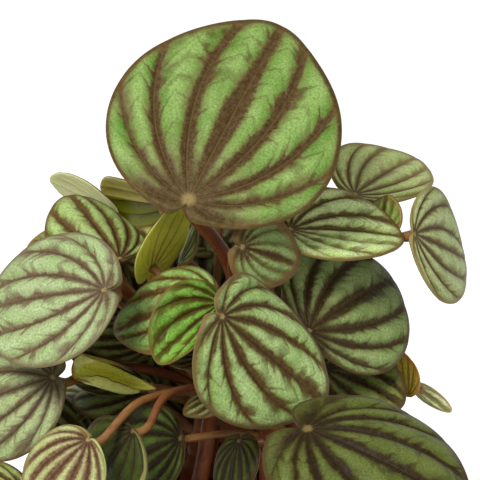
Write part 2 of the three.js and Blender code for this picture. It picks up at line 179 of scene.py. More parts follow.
# Each leaf that the photograph shows, as in the part's source: its name and its stem, where its
# stalk meets it, the numbers that LEAF_WORDS names, and what only some leaves have.
# start: the height at which the stalk leaves its stem.
LEAF_WORDS = ("heading", "rise", "roll", "length", "width", "droop", "cup", "lobe", "start")
LEAVES = (
    ("top", "middle", (-17, -15, 186), 60, 34, -17, 61, 65, 8, 2, 0.1, 132,
     dict(stalk=2, via=[(-6, -5, 162)])),
    ("left_large", "left", (-40, -24, 163), 161, -20, 35, 41, 42, 27, -10, 0.12, 124,
     dict(via=[(-20, 3, 135), (-30, 2, 144), (-37, -7, 156)], lean=0.8)),
    ("left_upper", "left", (-37, 2, 160), 127, 20, 4, 29, 31, 15, -40, 0.05, 125, {}),
    ("left_pale", "back_left", (-40, 34, 160), 146, 12, -58, 23, 24, 12, -10, 0.14, 124, {}),
    ("left_tucked", "left", (-47, 17, 151), -162, 23, 34, 19, 20, 24, 13, 0.15, 120,
     dict(via=[(-30, 2, 140)])),
    ("under_top_left", "back_left", (-23.5, 22, 167.5), 142, -7, -62, 25, 26, 4, -30, 0.14, 124,
     dict(lean=1.2, via=[(-15, 23, 141)])),
    ("upright", "middle", (-28.5, 4, 155.8), 14, 65, 49, 23, 22, 7, -8, 0.2, 124, {}),
    ("behind_upright", "back_left", (-26, 15, 153), 125, 9, 53, 15.5, 17, 11, -5, 0.14, 118, {}),
    ("beside_upright", "middle", (-19.5, 11, 154.7), 59, 52, 44, 12, 12, 5, -20, 0.16, 129, {}),
    ("centre", "front", (-8, -44, 165), 12, -45, -50, 41, 43, -6, -36, 0.12, 119,
     dict(via=[(4, -34, 154)])),
    ("centre_left", "left", (-10, -16, 157), 170, -24, 27, 31, 30, 25, -10, 0.05, 125, {}),
    ("young_bright", "front_left", (-8, -22, 158), -145, -29, 18, 25, 24, 21, 16, 0.1, 127,
     dict(fold=35, young=True, via=[(-4, -18, 148)])),
    ("below_centre_left", "front_left", (-12.5, -19, 139.5), -175, 0, 11, 11, 10, 10, -8, 0.16, 120, {}),
    ("centre_small", "middle", (-2.5, -19.5, 174), 18, -24, -66, 18.5, 20.5, 17, -5, 0.2, 133, {}),
    ("right_folded", "right", (11, 0, 170), 9, -9, -15, 33, 34, 17, -15, 0.15, 127,
     dict(fold=18, via=[(5, 5, 156)])),
    ("upper_right", "back_right", (30, 24, 170), 56, 0, -12, 32, 31, 14, 22, 0.04, 123,
     dict(via=[(13, 22, 158), (21, 26, 168)])),
    ("behind_right_folded", "back_right", (36.8, 11.5, 163.6), 67, 56, 7, 11.5, 12, 15, -4, 0.15, 123,
     dict(via=[(23, 25, 149), (33, 20, 159)])),
    ("far_right", "back_right", (46, 7, 165.5), 51, -36, -63, 33, 34, 18, 5, 0.05, 122,
     dict(via=[(28, 24, 149), (41, 15, 158)])),
    ("right_round", "right", (16, -17, 147), 54, 2, -43, 42, 44, 20, -9, 0.05, 122, {}),
    ("right_lower", "right", (21, -4, 128), -31, -11, -19, 26, 27, 26, 0, 0.16, 112, {}),
    ("right_turned", "right", (45.8, 3, 116.4), 114, 65, 82, 12.5, 13, 16, -11, 0.06, 106,
     dict(via=[(38, 9, 112)])),
    ("right_narrow", "right", (47.8, 10.5, 115.2), -14, -32, -55, 13, 4.8, 20, 20, 0.1, 103,
     dict(young=True)),
    ("front_right_large", "front", (15, -61, 140), -33, -12, -16, 49, 49, 25, -30, 0.2, 114, {}),
    ("front_young", "front", (-3, -35, 122), -102, -52, -39, 18, 19, 23, -7, 0.15, 108,
     dict(young=True, lean=0.8)),
    ("below_centre", "front", (-7.5, -26, 132), -160, -20, 10, 12.5, 11.5, 20, -15, 0.16, 117, {}),
    ("front_left_inner", "front", (-19.5, -24, 117), 146, -35, 63, 24.5, 25.5, 25, 6, 0.04, 112,
     dict(lean=0.8)),
    ("front_left_middle", "front_left", (-32, -38, 127), 173, -62, 48, 25, 26, 28, -5, 0.02, 128,
     dict(via=[(-24, -27, 131.5)], lean=1.2)),
    ("front_left_outer", "front_left", (-44, -45, 128), -158, -45, 24, 26, 27, 23, -25, 0.06, 127,
     dict(via=[(-31, -31, 132)], lean=1.2)),
    ("left_low_large", "left", (-55, -20, 134), 167, -28, 39, 38, 39, 17, -16, 0.11, 121,
     dict(via=[(-31, -1, 127), (-46, -11, 131)], lean=0.8)),
    ("left_lowest", "front_left", (-62, -46, 109.5), -176, 7, 13, 25, 26, 38, 5, 0.11, 94,
     dict(via=[(-40, -30, 93)])),
    ("young_curled", "left", (-27, -17, 129), 174, 15, 62, 24, 12.5, 5, 95, 0.03, 116,
     dict(young=True, egg=-0.9)),
    ("left_inner", "left", (-28, 2, 134), 172, -2, 25, 20, 16, 20, -10, 0.14, 119, {}),
    ("left_shaded", "left", (-27, 3, 118), 176, -12, 8, 25, 25, 20, -15, 0.16, 104, {}),
)

# Leaves on the sides that the photograph doesn't show, in tiers round the plant: name, direction of
# the first one, step to the next, how many, radius, height, lift of every second one, rise, length,
# and where their stalks leave the stem
TIERS = (
    ("back_upper", 78, 30, 2, 34, 143, 6, 8, 29, 120),
    ("back_middle", 54, 31, 4, 38, 130, 7, -28, 29, 110),
    ("back_lower", 60, 36, 4, 48, 106, 6, -30, 29, 94),
    ("front_lowest", 238, 30, 4, 46, 97, 5, -24, 27, 90),
    ("back_high", 84, 20, 2, 33, 165, 5, -4, 28, 123),
)
TIER_BEND = dict(droop=24, cup=-12, lobe=0.14)

# The look of a full-grown leaf. stripe: half the width of the dark stripes, base: how far from the
# stalk they are merged, margin: the brown margin's width, spot: the pale spot over the stalk, all in
# millimetres. rib: how much broader the middle stripe is. strip: width of a strip in another colour
# along the right margin, below 0 along the left one. side, net and smoke: how strong the side veins,
# the finest net and the grey haze beside the stripes are. plain: 1 for stripes that are faint on the
# right half, -1 on the left one, 2 on both, except the middle one. halves: how much the under face's
# right half differs, for painted light on one half and painted shade on the other. thin: how much
# light comes through the blade. tone: shade of the whole, partly the leaf's own colour and partly
# painted light and painted shade, set leaf by leaf to how lit each one looks.
LOOK = dict(
    stripe=0.8, rib=1.0, plain=0.0, base=3.5, margin=0.7, strip=0.0, side=0.8, net=0.6, smoke=0.4,
    spot=1.0, halves=0.0, thin=0.0, rough=0.38, tone=1.0,
    green="7d9a4c", silver="a5ba74", dark="3f2a0e", haze="71632f", vein="33200a", edge="5e4722",
    spot_colour="a58f5c", strip_colour="a9a866", under="87873a", under_2="6f7030",
    under_vein="6d4220", under_rim="a3a066",
)

# What differs on single leaves
LOOKS = {
    "top": dict(
        stripe=1.75, rib=2.4, base=12.0, side=1.0, smoke=1.7, spot=2.8, margin=1.2, green="5f8e2e",
        silver="96b866", dark="4a3314", haze="766640", edge="62491f", vein="6b5634",
    ),
    "left_large": dict(
        stripe=0.65, base=4.5, side=1.0, green="93ac6e", silver="b1c792", dark="624e38", haze="8a8264",
        edge="7d7050", vein="4e3824", tone=1.12,
    ),
    "left_low_large": dict(
        stripe=0.65, base=6.0, side=1.0, green="8ca06a", silver="abbc84", dark="5c4c34", haze="7d765c",
        tone=1.2,
    ),
    "left_upper": dict(stripe=0.7, green="86a652", silver="abc67e", dark="50381c", tone=1.25),
    "left_tucked": dict(green="8aa452", silver="a6bc74", edge="92783c", margin=0.4, stripe=0.5, tone=1.2),
    # Painted light: the under face is painted nearly white, since it faces away from the key lamp.
    "left_pale": dict(thin=1.0, under="f4fbb4", under_2="e8f0a6", under_vein="bcc27c", under_rim="d8dfa0"),
    # Painted light and painted shade on the under face: its left half is painted light, as light coming
    # through it, and its right half is painted shade.
    "under_top_left": dict(thin=1.0, under="dcd57c", under_2="7f8614", under_vein="7a4a10", halves=1.0),
    "behind_upright": dict(green="8b9a50", silver="a5b06c", tone=1.5),
    # Painted light: the under face is painted bright yellow-green, as light shining through it, since it
    # stands in the top leaf's shadow.
    "upright": dict(thin=1.0, under="e0e25c", under_2="ced24c", under_vein="8a5418", under_rim="dcdc96"),
    "beside_upright": dict(
        stripe=0.1, base=0.4, side=0.1, net=0.2, green="7f9a66", silver="96b080", tone=1.3,
    ),
    "centre": dict(
        stripe=0.85, rib=1.5, base=3.0, margin=1.1, side=1.0, smoke=0.15, green="84a45a", silver="a4bf7e",
        dark="422c10", haze="66582a", edge="665232", vein="2c1a08", tone=1.4, spot=1.2,
    ),
    "centre_left": dict(
        stripe=0.6, base=2.0, side=1.0, green="5f8238", silver="86a864", dark="40280c", haze="66582a",
        tone=1.9,
    ),
    "young_bright": dict(
        stripe=0.32, base=1.2, green="58901e", silver="8cbc54", dark="4a3a10", haze="55641c", vein="46280c",
        margin=0.4, side=1.1, net=0.8, tone=1.25, edge="6a5420",
    ),
    "centre_small": dict(
        stripe=0.5, rib=3.4, plain=2.0, green="7c9a52", silver="9ab476", dark="45301a", side=0.6,
        margin=1.9, edge="7a5a34",
    ),
    "right_folded": dict(
        stripe=0.65, rib=1.3, plain=1.0, green="98b46a", silver="bccf94", dark="453a1c", tone=1.6,
    ),
    "right_round": dict(
        stripe=1.2, rib=1.3, base=7.5, green="7a9650", silver="a0b474", dark="38290f", haze="5c5230",
        tone=1.1,
    ),
    "upper_right": dict(
        stripe=0.45, base=2.5, side=0.6, green="98b062", silver="bccb88", dark="7c6c46", edge="8f8048",
        tone=1.35,
    ),
    "far_right": dict(
        stripe=0.55, base=2.5, side=0.6, green="98ad6a", silver="b9c890", dark="584a2c", edge="8a7c50",
        tone=1.4,
    ),
    "behind_right_folded": dict(
        stripe=0.3, base=1.0, margin=0.4, strip=0.9, strip_colour="a08a4c", plain=2.0, green="86a83c",
        silver="9cba58", dark="5c5020", tone=1.3,
    ),
    "right_lower": dict(green="6c8238", silver="869a50", dark="2c1e08", stripe=1.0, tone=0.9),
    # Painted shade: this leaf's colours and tone are darkened, for a leaf that faces away from the light.
    "front_right_large": dict(
        stripe=1.15, rib=1.25, base=7.0, spot=2.0, margin=1.1, green="64762a", silver="808f46",
        dark="2e1f04", haze="564818", edge="675430", tone=0.7,
    ),
    "front_left_outer": dict(
        stripe=1.25, rib=1.3, base=4.0, green="94a460", silver="b9c688", dark="5a3824", haze="8a7658",
        edge="8f8448", tone=1.3, side=0.5, strip=-1.6, strip_colour="aab874",
    ),
    # Painted shade: this leaf's colours and tone are darkened, for a leaf lying in shade.
    "front_left_middle": dict(
        stripe=0.9, base=2.5, side=0.5, green="465614", silver="586a20", dark="241a02", haze="4c4418",
        tone=0.66, plain=2.0, strip=-2.6, strip_colour="b4b06a",
    ),
    "front_left_inner": dict(
        stripe=1.0, green="5c7a24", silver="74963a", dark="281802", tone=0.85, haze="4c4418", side=0.5,
        edge="5a4420", margin=1.0,
    ),
    # Painted shade: this young leaf is darkened to a low tone, for a leaf lying in shade low in front.
    "front_young": dict(
        stripe=0.7, base=2.5, green="5c7008", silver="728a10", dark="332002", haze="4c3e10", tone=0.38,
    ),
    "left_lowest": dict(tone=1.3),
    # Painted light: the young curled leaf is painted pale and its tone is doubled, since it lies in shade
    # under the large leaf above.
    "young_curled": dict(
        thin=1.0, stripe=0.12, base=0.4, side=0.12, net=0.1, margin=0.2, green="b0b43a", silver="c8cc62",
        dark="9a962c", haze="a8a440", edge="96602c", vein="c8ca68", under="c3ca48", under_2="b3bb3c",
        under_vein="c8ca58", under_rim="9a6a34", tone=2.0,
    ),
    # Painted light: its colours are brightened and its tone is raised, since it lies in shade.
    "right_turned": dict(
        thin=1.0, stripe=0.1, base=0.5, side=0.15, green="c4b84c", silver="d4c860", dark="98802c",
        haze="a8963a", vein="98802c", edge="a8743c", under="d8cc58", under_2="b8a840", under_vein="94802c",
        under_rim="b88238", tone=1.5,
    ),
    "right_narrow": dict(
        stripe=0.35, base=0.5, side=0.4, plain=2.0, green="b4be8a", silver="d4dab4", dark="6a7040",
        vein="7a7c48", margin=0.3, edge="9a9260", tone=2.1,
    ),
}

# Stalk colours that differ: 0 is red-brown, 0.5 tan, 1 green
STALK_TINTS = {
    "leaf_top": 0.0, "leaf_left_large": 0.12, "leaf_left_low_large": 0.12, "leaf_front_left_outer": 0.38,
    "leaf_front_left_middle": 0.25, "leaf_front_left_inner": 0.45, "leaf_young_curled": 0.7,
    "leaf_centre_small": 0.15, "leaf_far_right": 0.3,
}

# Leaves that the photograph doesn't show take these in turn
TIER_LOOKS = (
    dict(green="7f9a50", silver="a3b97a", tone=1.1),
    dict(green="77954c", silver="9ab274", tone=1.15),
    dict(green="86a356", silver="acbf86", tone=1.1, stripe=1.05),
)

# Small leaves deep inside the bush, which close the gaps between the modelled ones:
# where the stalk ends, heading, rise and length. INNER_PAINTED_SHADE: how much darker they are painted,
# as painted shade deep in the bush. INNER_STALK: how much lower their stalks leave the stem.
INNER_LEAVES = (
    ((-14, 23, 137), 88, 52, 22), ((-34, 13, 136), 118, 48, 21), ((-29, 8, 113), 112, 46, 23),
    ((-15, 2, 109), 84, 44, 22), ((-44, -6, 104), 158, 34, 22), ((9, 20, 131), 76, 52, 22),
    ((25, 10, 114), 58, 46, 24), ((4, 6, 106), 92, 40, 22), ((-8, 27, 112), 100, 30, 24),
    ((22, 24, 120), 48, 34, 22), ((-38, 0, 127), 166, 14, 15), ((-37, 6, 118), 174, 4, 15),
)
# Painted shade: the inner leaves' colours are made darker by this share.
INNER_PAINTED_SHADE = 0.65
INNER_STALK = 14
INNER_BEND = dict(droop=16, cup=-14, lobe=0.14, fine=0.6)

DEGREES = math.pi / 180
NOTCH = len(VEINS) - 1


def chance(i, k):
    """A repeatable number from 0 to 1 for item i and use k."""
    wave = math.sin(i * 12.9898 + k * 78.233) * 43758.5453
    return wave - math.floor(wave)


def unit(vectors):
    """The vectors at length 1."""
    return vectors / np.linalg.norm(vectors, axis=-1, keepdims=True)


def bell(x, width):
    """1 at x = 0, falling smoothly to almost 0 at twice the width."""
    return np.exp(-((x / width) ** 2))


def directions(count):
    """Evenly spaced directions round a circle, in radians."""
    return np.linspace(0, 2 * math.pi, count, endpoint=False)


def nearest_stem(azimuth):
    x, y = math.cos(azimuth * DEGREES), math.sin(azimuth * DEGREES)
    return max(STEMS, key=lambda name: x * STEMS[name][0][0] + y * STEMS[name][0][1])


def shown_leaves():
    leaves = []
    for name, stem, at, *numbers, more in LEAVES:
        leaves.append(dict(zip(LEAF_WORDS, numbers), name="leaf_" + name, stem="stem_" + stem, at=at, **more))
    return leaves


def tier_leaves(tier, t):
    name, first, step, count, radius, height, lift, rise, length, start = tier
    leaves = []
    for i in range(count):
        seed = t * 10 + i + 1
        azimuth = first + i * step + 6 * (chance(seed, 1) - 0.5)
        size = length * (0.92 + 0.16 * chance(seed, 2))
        x, y = radius * math.cos(azimuth * DEGREES), radius * math.sin(azimuth * DEGREES)
        leaves.append(dict(
            name=f"leaf_{name}_{i + 1}", stem=nearest_stem(azimuth), at=(x, y, height + (i % 2) * lift),
            heading=azimuth + 16 * (chance(seed, 3) - 0.5), rise=rise + 8 * (chance(seed, 4) - 0.5),
            roll=16 * (chance(seed, 5) - 0.5), length=size, width=size * 1.03, start=start, **TIER_BEND,
        ))
    return leaves


def inner_leaves():
    leaves = []
    for i, (at, heading, rise, length) in enumerate(INNER_LEAVES):
        leaves.append(dict(
            name=f"leaf_inner_{i + 1}", stem=nearest_stem(math.atan2(at[1], at[0]) / DEGREES), at=at,
            heading=heading, rise=rise, roll=20 * (chance(i, 11) - 0.5), length=length, width=length * 1.02,
            start=at[2] - INNER_STALK, inner=True, **INNER_BEND,
        ))
    return leaves


def outline_point(leaf, phi):
    """Outline points of a blade, with the stalk at 0, 0 and the tip along +Y."""
    long = leaf["length"] / (1 + TIP_LENGTH)
    half_long = (long + leaf["lobe"] * leaf["length"]) / 2
    middle = (long - leaf["lobe"] * leaf["length"]) / 2
    x = leaf["width"] / 2 * np.sin(phi) * (1 - leaf.get("egg", EGG) * np.cos(phi))
    y = middle + half_long * np.cos(phi)
    turn = np.abs(np.arctan2(x, y))
    tip = 1 + TIP_LENGTH * bell(turn, TIP_SPREAD)
    notch = 1 - NOTCH_DEPTH * bell(math.pi - turn, NOTCH_SPREAD)
    return x * tip * notch, y * tip * notch


def bend(leaf, x, y):
    """Flat blade points bent by the leaf's cup, fold and droop."""
    half = leaf["width"] / 2
    cup = (leaf["cup"] or LEAST_BEND) * DEGREES
    fold = leaf.get("fold", 0) * DEGREES
    curve = (leaf["droop"] or LEAST_BEND) * DEGREES / leaf["length"]
    rounding = RIDGE_ROUNDING * leaf["width"]
    side = half / cup * np.sin(cup * x / half) * math.cos(fold)
    ridge = np.sqrt(x * x + rounding * rounding) - rounding
    height = half / cup * (1 - np.cos(cup * x / half)) + ridge * math.sin(fold)
    turn = curve * y
    return np.stack([
        side,
        np.sin(turn) / curve + height * np.sin(turn),
        (np.cos(turn) - 1) / curve + height * np.cos(turn),
    ], -1)


def blade_normal(leaf, x, y):
    step = 0.05
    across = bend(leaf, x + step, y) - bend(leaf, x - step, y)
    along = bend(leaf, x, y + step) - bend(leaf, x, y - step)
    return unit(np.cross(across, along))


def blade_axes(leaf):
    """The blade's own axes: to its right, along the midrib at the stalk, out of its upper face."""
    heading, rise, roll = (leaf[key] * DEGREES for key in ("heading", "rise", "roll"))
    midrib = np.array([
        math.cos(heading) * math.cos(rise), math.sin(heading) * math.cos(rise), math.sin(rise),
    ])
    level = np.array([math.sin(heading), -math.cos(heading), 0.0])
    right = level * math.cos(roll) + np.cross(level, midrib) * math.sin(roll)
    back = leaf["droop"] * DEGREES / 2
    along = midrib * math.cos(back) + np.cross(right, midrib) * math.sin(back)
    return right, along, np.cross(right, along)


def vein_angle(seed, place, rho):
    """Direction on the blade, in radians from the midrib, of the point at vein place and share rho
    of the way to the margin. Whole places are the main veins, from the notch round to the notch."""
    nodes = []
    for k in range(-NOTCH, NOTCH + 1):
        angle, turn, late = VEINS[abs(k)]
        shift = (2 * chance(seed, 40 + k) - 1) * (0.0 if abs(k) == NOTCH else VEIN_STRAY)
        nodes.append(math.copysign(1, k) * angle * (1 - turn * rho ** late) + shift * rho)
    nodes = [-360 - nodes[1]] + nodes + [360 - nodes[-2]]
    low = np.clip(np.floor(place).astype(int), -NOTCH, NOTCH - 1)
    part = place - low
    shape = np.broadcast(place, rho).shape
    stack = np.stack([np.broadcast_to(node, shape) for node in nodes])
    a, b, c, d = (np.take_along_axis(stack, (low + NOTCH + k)[None], 0)[0] for k in range(4))
    curve = 2 * a - 5 * b + 4 * c - d + part * (3 * (b - c) + d - a)
    return (b + 0.5 * part * (c - a + part * curve)) * DEGREES


def mesh_object(name, points, faces):
    """points in millimetres, faces as lists of corner numbers."""
    mesh = bpy.data.meshes.new(name)
    mesh.from_pydata((np.asarray(points) * MM).tolist(), [], faces)
    mesh.update()
    mesh.shade_smooth()
    made = bpy.data.objects.new(name, mesh)
    bpy.context.scene.collection.objects.link(made)
    return made


def store(made, name, values, kind="FLOAT", key="value"):
    """Keeps a number or a vector for each point of a mesh, for its material to read."""
    layer = made.data.attributes.new(name, kind, "POINT")
    layer.data.foreach_set(key, np.asarray(values, dtype=np.float32).ravel())


def grid_faces(rows, columns, first=0):
    """Quads between the rings of a grid of points, each ring with its columns in turn."""
    r = np.arange(rows - 1)[:, None]
    c = np.arange(columns)[None]
    n = (c + 1) % columns
    a = first + r * columns + c
    b = first + r * columns + n
    return np.stack([a, b, b + columns, a + columns], -1).reshape(-1, 4).tolist()


def fan(point, ring, columns, flip=False):
    """Triangles from a point to the ring of points that starts at number ring."""
    around = [(ring + c, ring + (c + 1) % columns) for c in range(columns)]
    return [[point, a, b] if flip else [point, b, a] for a, b in around]


def blade_places(length):
    """Vein places of the grid's columns, from just past the notch round to the notch."""
    right = []
    for cell, count in enumerate(CELL_COLUMNS):
        right += [cell + i / count for i in range(count)]
    place = np.array([-p for p in reversed(right[1:])] + right + [NOTCH])
    if length > LONG_BLADE:
        place = np.sort(np.concatenate([place, (place + np.roll(place, 1))[1:] / 2]))
    return place


def side_vein_spacing(length):
    return max(3.0, SIDE_VEIN_SHARE * length)


def waves(number, first, terms):
    """The sum of slow waves: the size and the angle of each, with phases drawn from first on."""
    return sum(
        size * np.sin(angle + 6 * chance(number, first + i)) for i, (size, angle) in enumerate(terms)
    )


def blade_radius(leaf, number, theta):
    """How far the margin is from the stalk, in the directions theta, with its small waves."""
    x, y = outline_point(leaf, np.linspace(-math.pi, math.pi, OUTLINE_POINTS))
    turn = np.arctan2(x, y)
    order = np.argsort(turn)
    wrapped = (theta + math.pi) % (2 * math.pi) - math.pi
    wander = waves(number, 21, ((0.010, 3 * theta), (0.007, 5 * theta), (0.004, 9 * theta)))
    return np.interp(wrapped, turn[order], np.hypot(x, y)[order]) * (1 + wander)


def blade_relief(length, number, theta, rho, cell, gap, aside, branch):
    """Pillows between the veins, grooves along them, and a slow wave of the margin."""
    relief = PILLOW_HEIGHT * length
    inner = np.clip(rho / CALM_MIDDLE, 0, 1) ** 1.2
    outer = 1 - np.clip((rho - CALM_MARGIN) / (1 - CALM_MARGIN), 0, 1) ** 2 * 0.8
    open_band = np.clip(gap / (0.16 * length), 0.15, 1.1) * inner * outer
    height = relief * (np.sin(math.pi * cell) ** 0.7 - 0.4) * open_band
    off_branch = np.abs(branch - np.round(branch)) * side_vein_spacing(length) * 0.75
    quilt = np.clip(aside / 1.5, 0, 1) * bell(off_branch, QUILT_LINE)
    height -= QUILT_DEPTH * relief * quilt * open_band
    wave = waves(number, 31, ((1.0, 2 * theta), (0.6, 5 * theta)))
    return height + MARGIN_WAVE * length * rho ** 3 * wave


def lay_out_for_bake(made, leaf, flat, slots):
    """Both faces laid out side by side in one UV map, for baking their colours."""
    u = (flat[:, 0] / leaf["width"] + 0.5) * 0.46 + 0.02
    v = (flat[:, 1] + leaf["lobe"] * leaf["length"]) / (leaf["length"] * (1.06 + leaf["lobe"])) * 0.94 + 0.03
    corners = np.empty(len(made.data.loops), dtype=np.int32)
    made.data.loops.foreach_get("vertex_index", corners)
    totals = np.empty(len(slots), dtype=np.int32)
    made.data.polygons.foreach_get("loop_total", totals)
    uv = np.stack([u[corners] + 0.5 * np.repeat(slots, totals), v[corners]], -1)
    layer = made.data.uv_layers.new(name="OFBake")
    layer.data.foreach_set("uv", uv.astype(np.float32).ravel())


def make_blade(leaf, number):
    """The fine blade: upper and under face, rim, relief, and the numbers its material reads."""
    length = leaf["length"]
    rings = int(BLADE_RINGS * leaf.get("fine", 1.0))
    place = blade_places(length)
    columns = len(place)
    place, rho = np.meshgrid(place, (np.arange(1, rings + 1) / rings) ** 0.92)
    theta = vein_angle(number, place, rho)
    radius = blade_radius(leaf, number, theta)
    reach = rho * radius
    x, y = reach * np.sin(theta), reach * np.cos(theta)

    low = np.clip(np.floor(np.abs(place)), 0, NOTCH - 1)
    sign = np.sign(place) + (place == 0)
    spread = np.abs(vein_angle(number, sign * (low + 1), rho) - vein_angle(number, sign * low, rho))
    gap = reach * spread

    # Side veins leave each main vein outwards and meet in the middle of the band
    cell = np.abs(place) - low
    aside = np.minimum(cell, 1 - cell) * gap
    steps = np.array([chance(number, 80 + k) for k in range(NOTCH + 2)])
    late = steps[low.astype(int)] * (1 - cell) + steps[low.astype(int) + 1] * cell
    warp = waves(number, 24, ((0.14, x * 0.17 + y * 0.08), (0.12, y * 0.21 - x * 0.15)))
    branch = (reach - SIDE_VEIN_LEAN * aside) / side_vein_spacing(length) + late + warp + 0.3 * (sign < 0)

    height = blade_relief(length, number, theta, rho, cell, gap, aside, branch)
    half = (RIM_THICKNESS + (BLADE_THICKNESS - RIM_THICKNESS) * (1 - rho ** 5)) / 2
    middle = bend(leaf, x, y)
    normal = blade_normal(leaf, x, y)
    upper = middle + normal * (height + half)[..., None]
    under = middle + normal * (height * 0.8 - half)[..., None]
    rim = (upper[-1] + under[-1]) / 2
    rim = rim + unit(rim - (upper[-2] + under[-2]) / 2) * RIM_THICKNESS * 0.35

    # The two points over and under the stalk, where the innermost rings close
    origin = np.zeros(1)
    out = blade_normal(leaf, origin, origin)
    top = bend(leaf, origin, origin) + out * (BLADE_THICKNESS / 2 - STALK_DIMPLE * PILLOW_HEIGHT * length)
    bottom = bend(leaf, origin, origin) - out * BLADE_THICKNESS / 2
    local = np.concatenate([top, upper.reshape(-1, 3), rim, under[::-1].reshape(-1, 3), bottom])
    world = np.array(leaf["at"]) + local @ np.stack(blade_axes(leaf))

    rows = 2 * rings + 1
    last = 1 + rows * columns
    faces = fan(0, 1, columns) + grid_faces(rows, columns, 1) + fan(last, last - columns, columns, flip=True)
    made = mesh_object(leaf["name"] + "_fine", world, faces)

    def over(values, start):
        """The values of the upper face, the rim and the under face."""
        return np.concatenate([[start], values.ravel(), values[-1], values[::-1].ravel(), [start]])

    store(made, "place", over(np.abs(place), 0.0))
    store(made, "gap", over(gap, 0.0))
    store(made, "edge", over(radius * (1 - rho), radius.mean()))
    store(made, "reach", over(reach, 0.0))
    store(made, "branch", over(branch, branch[0].mean()))
    flat = np.stack([over(x, 0.0), over(y, 0.0), np.zeros(len(world))], -1)
    flat[1 + rings * columns:1 + (rings + 1) * columns] *= 1.012
    store(made, "blade", flat, "FLOAT_VECTOR", "vector")

    # The upper face and half the rim take the first material, the rest the second
    slots = np.ones(len(faces), dtype=np.int32)
    slots[:(rings + 1) * columns] = 0
    made.data.polygons.foreach_set("material_index", slots)
    lay_out_for_bake(made, leaf, flat, slots)
    return made


def operation(kind, swapped=False):
    """A method that makes a Math node of this kind."""
    def method(self, other=None):
        return self.graph.math(kind, *((other, self) if swapped else (self, other)))
    return method


class Value:
    """An output in a node tree. Arithmetic with it makes Math nodes."""

    __add__, __radd__ = operation("ADD"), operation("ADD", swapped=True)
    __sub__, __rsub__ = operation("SUBTRACT"), operation("SUBTRACT", swapped=True)
    __mul__, __truediv__ = operation("MULTIPLY"), operation("DIVIDE")
    __gt__, __lt__ = operation("GREATER_THAN"), operation("LESS_THAN")
    __abs__, __round__, __floor__ = operation("ABSOLUTE"), operation("ROUND"), operation("FLOOR")

    def __init__(self, graph, socket):
        self.graph = graph
        self.socket = socket


class Graph:
    """Short words for building a node tree."""

    def __init__(self, tree):
        self.tree = tree

    def node(self, kind, **settings):
        made = self.tree.nodes.new("ShaderNode" + kind)
        for key, value in settings.items():
            setattr(made, key, value)
        return made

    def put(self, socket, value):
        if isinstance(value, Value):
            self.tree.links.new(value.socket, socket)
        elif isinstance(value, tuple) and len(value) == 3 and socket.type == "RGBA":
            socket.default_value = (*value, 1.0)
        elif value is not None:
            socket.default_value = value

    def make(self, kind, values=(), output=0, **settings):
        """One output of a new node, with these values in its inputs."""
        made = self.node(kind, **settings)
        for key, value in values.items() if isinstance(values, dict) else enumerate(values):
            self.put(made.inputs[key], value)
        return Value(self, made.outputs[output])

    def math(self, kind, *values, clamp=False):
        return self.make("Math", values, operation=kind, use_clamp=clamp)

    def most(self, a, b, clamp=False):
        return self.math("MAXIMUM", a, b, clamp=clamp)

    def least(self, a, b):
        return self.math("MINIMUM", a, b)

    def fade(self, value, low, high, to_low=0.0, to_high=1.0):
        """Smoothly from to_low at low to to_high at high."""
        return self.make("MapRange", (value, low, high, to_low, to_high), interpolation_type="SMOOTHSTEP")

    def mix(self, factor, a, b, blend="MIX"):
        return self.make("Mix", {"Factor": factor, 6: a, 7: b}, 2, data_type="RGBA", blend_type=blend)

    def number(self, name):
        return self.make("Attribute", (), "Fac", attribute_name=name)

    def numbers(self, *names):
        return [self.number(name) for name in names]

    def vector(self, name):
        return self.make("Attribute", (), "Vector", attribute_name=name)

    def join(self, x, y, z=0.0):
        return self.make("CombineXYZ", (x, y, z))

    def part(self, vector, axis):
        """One of the three numbers of a vector."""
        return self.make("SeparateXYZ", (vector,), axis)

    def scaled(self, vector, by):
        return self.make("VectorMath", {0: vector, "Scale": by}, operation="SCALE")

    def shifted(self, vector, by):
        return self.make("VectorMath", (vector, by), operation="ADD")

    def millimetres(self):
        """The place on the piece, in millimetres."""
        return self.scaled(self.make("TexCoord", (), "Object"), 1 / MM)

    def noise(self, vector, scale, detail=2.0, roughness=0.5):
        values = {"Vector": vector, "Scale": scale, "Detail": detail, "Roughness": roughness}
        return self.make("TexNoise", values, "Fac")

    def cells(self, vector, randomness=1.0):
        """Distance to the border between scattered cells, which are 1 across on average."""
        values = {"Vector": vector, "Scale": 1.0, "Randomness": randomness}
        return self.make("TexVoronoi", values, "Distance", feature="DISTANCE_TO_EDGE")


def colour(text):
    """A colour given as its screen value in hexadecimal digits, as linear light."""
    parts = [int(text[i:i + 2], 16) / 255 for i in (0, 2, 4)]
    return tuple(p / 12.92 if p <= 0.04045 else ((p + 0.055) / 1.055) ** 2.4 for p in parts)


def new_pattern(name, numbers, colours, results):
    """A node group, with its graph, its inputs by name and the sockets of its results."""
    tree = bpy.data.node_groups.new(name, "ShaderNodeTree")
    for key in numbers:
        tree.interface.new_socket(key, in_out="INPUT", socket_type="NodeSocketFloat")
    for key in colours:
        tree.interface.new_socket(key, in_out="INPUT", socket_type="NodeSocketColor")
    for key in results:
        kind = "NodeSocketColor" if key == "colour" else "NodeSocketFloat"
        tree.interface.new_socket(key, in_out="OUTPUT", socket_type=kind)
    g = Graph(tree)
    sockets = tree.nodes.new("NodeGroupInput").outputs
    given = SimpleNamespace(**{socket.name: Value(g, socket) for socket in sockets if socket.name})
    return tree, g, given, tree.nodes.new("NodeGroupOutput").inputs


def vein_distance(place, gap):
    """The number of the nearest main vein, and how far it is in millimetres."""
    nearest = round(place)
    return nearest, abs(place - nearest) * gap + (nearest > NOTCH - 0.5) * NO_VEIN


